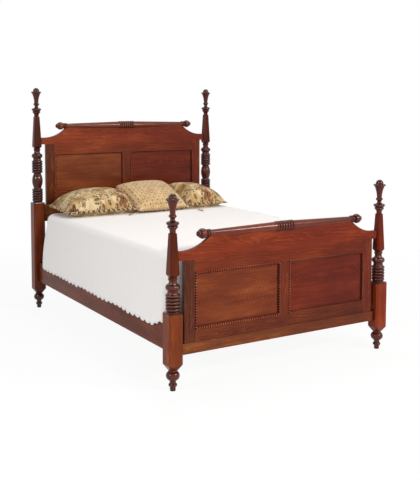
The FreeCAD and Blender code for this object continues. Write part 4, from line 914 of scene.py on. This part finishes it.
def seat_cushion(obj, cushion, rest, upper=None):
    """Puts a finished cushion in its place and rests it there."""
    set_cloth_place(obj)
    obj.data.transform(cushion.placement)
    rest_on(obj, rest)
    if upper is not None:
        press_under(obj, upper)
    subdivide = obj.modifiers.new("smooth", "SUBSURF")
    subdivide.levels = subdivide.render_levels = 1
    obj.data.polygons.foreach_set("use_smooth", [True] * len(obj.data.polygons))


def trim_path(obj, cushion, count):
    """The seam's line on the finished cushion."""
    tree = kdtree.KDTree(len(obj.data.vertices))
    for vertex in obj.data.vertices:
        tree.insert(vertex.co, vertex.index)
    tree.balance()
    raw = [tree.find(cushion.placement @ point)[0] for point in cushion.seam(count)]
    return [sum((raw[(k + d) % count] for d in (-2, -1, 0, 1, 2)), Vector()) / 5 for k in range(count)]


TWIST_SAMPLES = 9       # points on each turn of a twisted cord


def twisted_trim(name, path, radius, pitch, materials):
    """A two-strand cord sewn along a closed path."""
    lengths = running_lengths(path + path[:1])
    turns = round(lengths[-1] / pitch)
    samples = turns * TWIST_SAMPLES
    for strand, material in enumerate(materials):
        points = []
        k = 0
        for sample in range(samples):
            travelled = lengths[-1] * sample / samples
            while lengths[k + 1] < travelled:
                k += 1
            first, second = path[k], path[(k + 1) % len(path)]
            share = (travelled - lengths[k]) / max(lengths[k + 1] - lengths[k], 1e-9)
            side = (second - first).normalized().cross(UP).normalized()
            angle = 2 * math.pi * turns * sample / samples + math.pi * strand
            offset = side * math.cos(angle) + UP * math.sin(angle)
            points.append(first.lerp(second, share) + offset * radius * 0.55)
        tube(f"{name}_strand_{strand + 1}", points, radius * 0.62, material, closed=True)


TUFT_SIDES = 6
TUFT_PROFILE = ((-0.1, 0.34), (0.45, 0.5), (1.0, 0.26))     # shares of its length and of the pitch


def fringe(name, path, cushion, length, pitch, materials, floor_height):
    """Short tufts side by side along a seam, two of each colour by turns, that stay above the bed."""
    chance = random.Random(name)
    centre = cushion.placement.translation
    level = cushion.placement.to_3x3() @ UP
    tufts = {material.name: ([], []) for material in materials}
    travelled, number = 0.0, 0
    for first, second in zip(path, path[1:] + path[:1]):
        travelled += (second - first).length
        while travelled > number * pitch:
            material = materials[number // 2 % len(materials)]
            out = first - centre
            out = (out - level * out.dot(level)).normalized()
            reach = length * chance.uniform(0.75, 1.1)
            along = (second - first).normalized()
            aim = (out + along * chance.uniform(-0.25, 0.25) - UP * chance.uniform(0.35, 0.8)).normalized()
            side = aim.cross(UP).normalized()
            over = side.cross(aim)
            rings = []
            for share, thickness in TUFT_PROFILE:
                radius = thickness * pitch
                spot = first + aim * (reach * share)
                spot.z = max(spot.z, floor_height + radius)
                rings.append(ring_round(spot, side, over, radius, TUFT_SIDES))
            loft(rings, tufts[material.name])
            number += 1
    for material in materials:
        made_object(f"{name}_{material.name}", tufts[material.name], material)


PILLOW_WIDTH, PILLOW_DEPTH = 0.690, 0.455
PILLOW_RISE, PILLOW_FALL = 0.136, 0.062
PILLOW_SEAM_HEIGHT = 0.058
PILLOW_TILT = math.radians(3)
THROW_WIDTH, THROW_DEPTH = 0.505, 0.440
THROW_RISE, THROW_FALL = 0.078, 0.062
THROW_TILT, THROW_TURN = math.radians(25), math.radians(5)
THROW_PLACE = Vector((0.080, 0.790, 0.118))
REST_GAP = 0.0015       # between a cushion and the coverlet


def cushion_forms(top):
    """The three cushions, a little slimmer than they end up after they are filled."""
    throw_place = Matrix.Translation(THROW_PLACE + UP * top) @ Matrix.Rotation(THROW_TURN, 4, "Z")
    throw_place = throw_place @ Matrix.Rotation(THROW_TILT, 4, "X")
    throw = Cushion(THROW_WIDTH, THROW_DEPTH, THROW_RISE, THROW_FALL, 0.05, throw_place)
    pillows = {}
    for side in SIDES:
        low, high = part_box(f"pillow_{side}")
        middle = Vector(((low.x + high.x) / 2, (low.y + high.y) / 2, top + PILLOW_SEAM_HEIGHT))
        place = Matrix.Translation(middle) @ Matrix.Rotation(PILLOW_TILT, 4, "X")
        pillows[side] = Cushion(PILLOW_WIDTH, PILLOW_DEPTH, PILLOW_RISE, PILLOW_FALL, 0.07, place)
    return throw, pillows


def sewn_cushion(node, cushion, cloth, slot, voxel, cap, rest, upper=None):
    obj = cushion.mesh(f"{node}_cloth", cloth, slot)
    inflate(obj, voxel, 3.0, cap)
    seat_cushion(obj, cushion, rest, upper)
    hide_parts(node)
    return obj


def bed_pillows(top, throw, pillows):
    print_cloth = floral_print()
    yarns = twisted_yarn("trim_cream", srgb(216, 188, 138)), twisted_yarn("trim_brown", srgb(84, 60, 36))
    for side, cushion in pillows.items():
        node, slot = f"pillow_{side}", "print_fabric"
        obj = sewn_cushion(node, cushion, print_cloth, slot, 0.009, 0.012, top + REST_GAP, throw)
        path = trim_path(obj, cushion, 220)
        twisted_trim(f"{node}_trim", path, 0.0048, 0.022, yarns)
        fringe(f"{node}_fringe", path, cushion, 0.026, 0.010, yarns, top)


def throw_cushion(top, throw):
    node, slot = "throw_pillow", "woven_fabric"
    obj = sewn_cushion(node, throw, lattice_weave(), slot, 0.008, 0.010, top + REST_GAP)
    yarns = twisted_yarn("trim_rose", srgb(206, 168, 142)), twisted_yarn("trim_tan", srgb(168, 130, 92))
    path = trim_path(obj, throw, 200)
    twisted_trim(f"{node}_trim", path, 0.0040, 0.02, yarns)
    fringe(f"{node}_fringe", path, throw, 0.015, 0.0065, yarns, top)


TASSEL_LENGTH = 0.060       # from its head to the end of its skirt
TASSEL_HEAD = ((0.0, 0.0005), (0.003, 0.0045), (0.008, 0.0062), (0.013, 0.0052), (0.015, 0.0036),
               (0.018, 0.0048))
TASSEL_REST = 0.0095        # its middle's height above the coverlet
TASSELS = (     # name, side of the pillow, bearing in degrees, and length with its cord
    ("tassel_left", -1, 185, 0.095),
    ("tassel_right", 1, -73, 0.145),
)
CORD_RADIUS, CORD_BOW = 0.0019, 0.002
YARNS, YARN_RADIUS = 22, 0.0011
GOLDEN_ANGLE = 2.399963


def tassel(name, start, finish, material):
    """A tassel on its cord: a bound head and a skirt of yarns that lies along the bed."""
    direction = (finish - start).normalized()
    head_at = finish - direction * TASSEL_LENGTH
    bow = start.lerp(head_at, 0.5) + UP * CORD_BOW
    cord = tube(f"{name}_cord", [start, bow, head_at], CORD_RADIUS, material)
    side = direction.cross(UP).normalized()
    over = side.cross(direction)
    head = [ring_round(head_at + direction * along, side, over, radius, 10) for along, radius in TASSEL_HEAD]
    made_object(f"{name}_head", loft(head), material)
    skirt = ([], [])
    for k in range(YARNS):
        angle = GOLDEN_ANGLE * k
        out = (side * math.cos(angle) + over * math.sin(angle) * 0.75) * math.sqrt((k + 0.5) / YARNS)
        end = TASSEL_LENGTH - 0.004 * ((k * 7) % 3)
        loft([ring_round(head_at + direction * along + out * radius, side, over, YARN_RADIUS, 4)
              for along, radius in ((0.016, 0.0036), (0.036, 0.0062), (end, 0.0072))], skirt)
    made_object(f"{name}_skirt", skirt, material)
    return cord


def tassels(top, throw):
    """The two tassels, each from a front corner of the small pillow down to the coverlet."""
    yarn = twisted_yarn("tassel_yarn", srgb(186, 164, 128))
    for name, side, bearing, length in TASSELS:
        start = throw.placement @ Vector((side * throw.width / 2 * 0.99, -throw.depth / 2 * 0.99, 0))
        drop = start.z - top - TASSEL_REST
        level = math.sqrt(length ** 2 - drop ** 2)
        heading = math.radians(bearing)
        finish = start + Vector((level * math.cos(heading), level * math.sin(heading), -drop))
        tassel(name, start, finish, yarn)
    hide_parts("throw_tassels")


# ---------------- Floor, light and camera

FLOOR_HALF = 30.0
FLOOR_FADE = (1.6, 4.2)         # from the bed's middle, where the floor turns to white
NEAR_WHITE, FAR_WHITE = 0.92, 0.08      # white's share by the bed, and what is added far off
SKY_COLOUR, SKY_STRENGTH = (1.0, 0.985, 0.98, 1), 0.40
WARM, NEUTRAL, COOL = (1.0, 0.95, 0.89), (1.0, 1.0, 1.0), (1.0, 0.98, 0.97)
LAMPS = (       # name, place, width, height, watts, colour
    ("key", (3.2, -5.6, 3.6), 1.6, 0.9, 220, WARM),
    ("front", (0.3, -5.6, 3.2), 0.6, 0.6, 90, WARM),
    ("top", (0.3, 0.2, 5.2), 1.2, 1.2, 66, NEUTRAL),
    ("left", (-5.2, -1.7, 2.6), 0.5, 0.5, 80, COOL),
)
LAMP_AIM = Vector((0, 0, 0.6))


def floor_material():
    """Pale floor that keeps the shadow near the bed and turns to the background's white far off."""
    tree = Surface("floor", roughness=0.9)
    tree.colour(srgb(244, 244, 244))
    white = tree.node("Emission", {"Color": WHITE, "Strength": 1.0})
    x, y, _ = tree.parts(tree.position())
    far = tree.step(tree.distance(x, y), *FLOOR_FADE)
    share = tree.times(tree.times_plus(far, FAR_WHITE, NEAR_WHITE), tree.backdrop_seen())
    mixed = tree.node("MixShader", {0: share, 1: tree.shader.outputs[0], 2: white.outputs[0]})
    tree.feed(tree.nodes["Material Output"].inputs["Surface"], mixed.outputs[0])
    return tree.material


def floor():
    mesh = bpy.data.meshes.new("floor")
    corners = [(x * FLOOR_HALF, y * FLOOR_HALF, 0) for x, y in ((-1, -1), (1, -1), (1, 1), (-1, 1))]
    mesh.from_pydata(corners, [], [(0, 1, 2, 3)])
    mesh.materials.append(floor_material())
    add_object("floor", mesh)


def sky():
    """Soft light from all round, and plain white where the background is looked at."""
    world = bpy.data.worlds.new("studio")
    bpy.context.scene.world = world
    tree = Tree(world)
    ambient = tree.nodes["Background"]
    ambient.inputs["Color"].default_value = SKY_COLOUR
    ambient.inputs["Strength"].default_value = SKY_STRENGTH
    backdrop = tree.node("Background", {"Color": WHITE})
    mixed = tree.node("MixShader", {0: tree.backdrop_seen(), 1: ambient.outputs[0], 2: backdrop.outputs[0]})
    tree.feed(tree.nodes["World Output"].inputs["Surface"], mixed.outputs[0])


def lamps():
    for name, place, width, height, power, tint in LAMPS:
        lamp = configure(bpy.data.lights.new(name, "AREA"), shape="RECTANGLE", size=width, size_y=height,
                         energy=power, color=tint)
        aim = (LAMP_AIM - Vector(place)).to_track_quat("-Z", "Y").to_euler()
        configure(add_object(name, lamp), location=place, rotation_euler=aim)


# The photograph's camera, fitted to the posts and rails. Its frame, axis and focal length are in pixels.
FRAME_WIDTH, FRAME_HEIGHT = 420, 480
AXIS_ACROSS, AXIS_DOWN = 183.0, 165.0
FOCAL_PIXELS = 812.03
CAMERA_PLACE = (-3.06303, -5.09517, 1.68406)
CAMERA_DIP, CAMERA_TURN = 4.62, -30.32      # degrees below level, and to the right of the bed's length
SENSOR = 36


def camera():
    data = configure(bpy.data.cameras.new("photo"), sensor_width=SENSOR,
                     lens=FOCAL_PIXELS / FRAME_HEIGHT * SENSOR,
                     shift_x=(FRAME_WIDTH / 2 - AXIS_ACROSS) / FRAME_HEIGHT,
                     shift_y=(AXIS_DOWN - FRAME_HEIGHT / 2) / FRAME_HEIGHT)
    aim = (math.radians(90 - CAMERA_DIP), 0, math.radians(CAMERA_TURN))
    bpy.context.scene.camera = configure(add_object("photo", data), location=CAMERA_PLACE, rotation_euler=aim)


# ---------------- The bed

bpy.context.scene.view_settings.view_transform = "Standard"
stain_frame()
finish_hardware()
for end in ENDS:
    for side in SIDES:
        carved_beads(end, side)
cover = ticking()
padded_block("box_spring", 0.045, 0.012, 0.003, cover)
padded_block("mattress", 0.095, 0.058, 0.005, cover)
coverlet()
coverlet_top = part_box("coverlet")[1].z
throw_form, pillow_forms = cushion_forms(coverlet_top)
bed_pillows(coverlet_top, throw_form, pillow_forms)
throw_cushion(coverlet_top, throw_form)
tassels(coverlet_top, throw_form)
floor()
sky()
lamps()
camera()
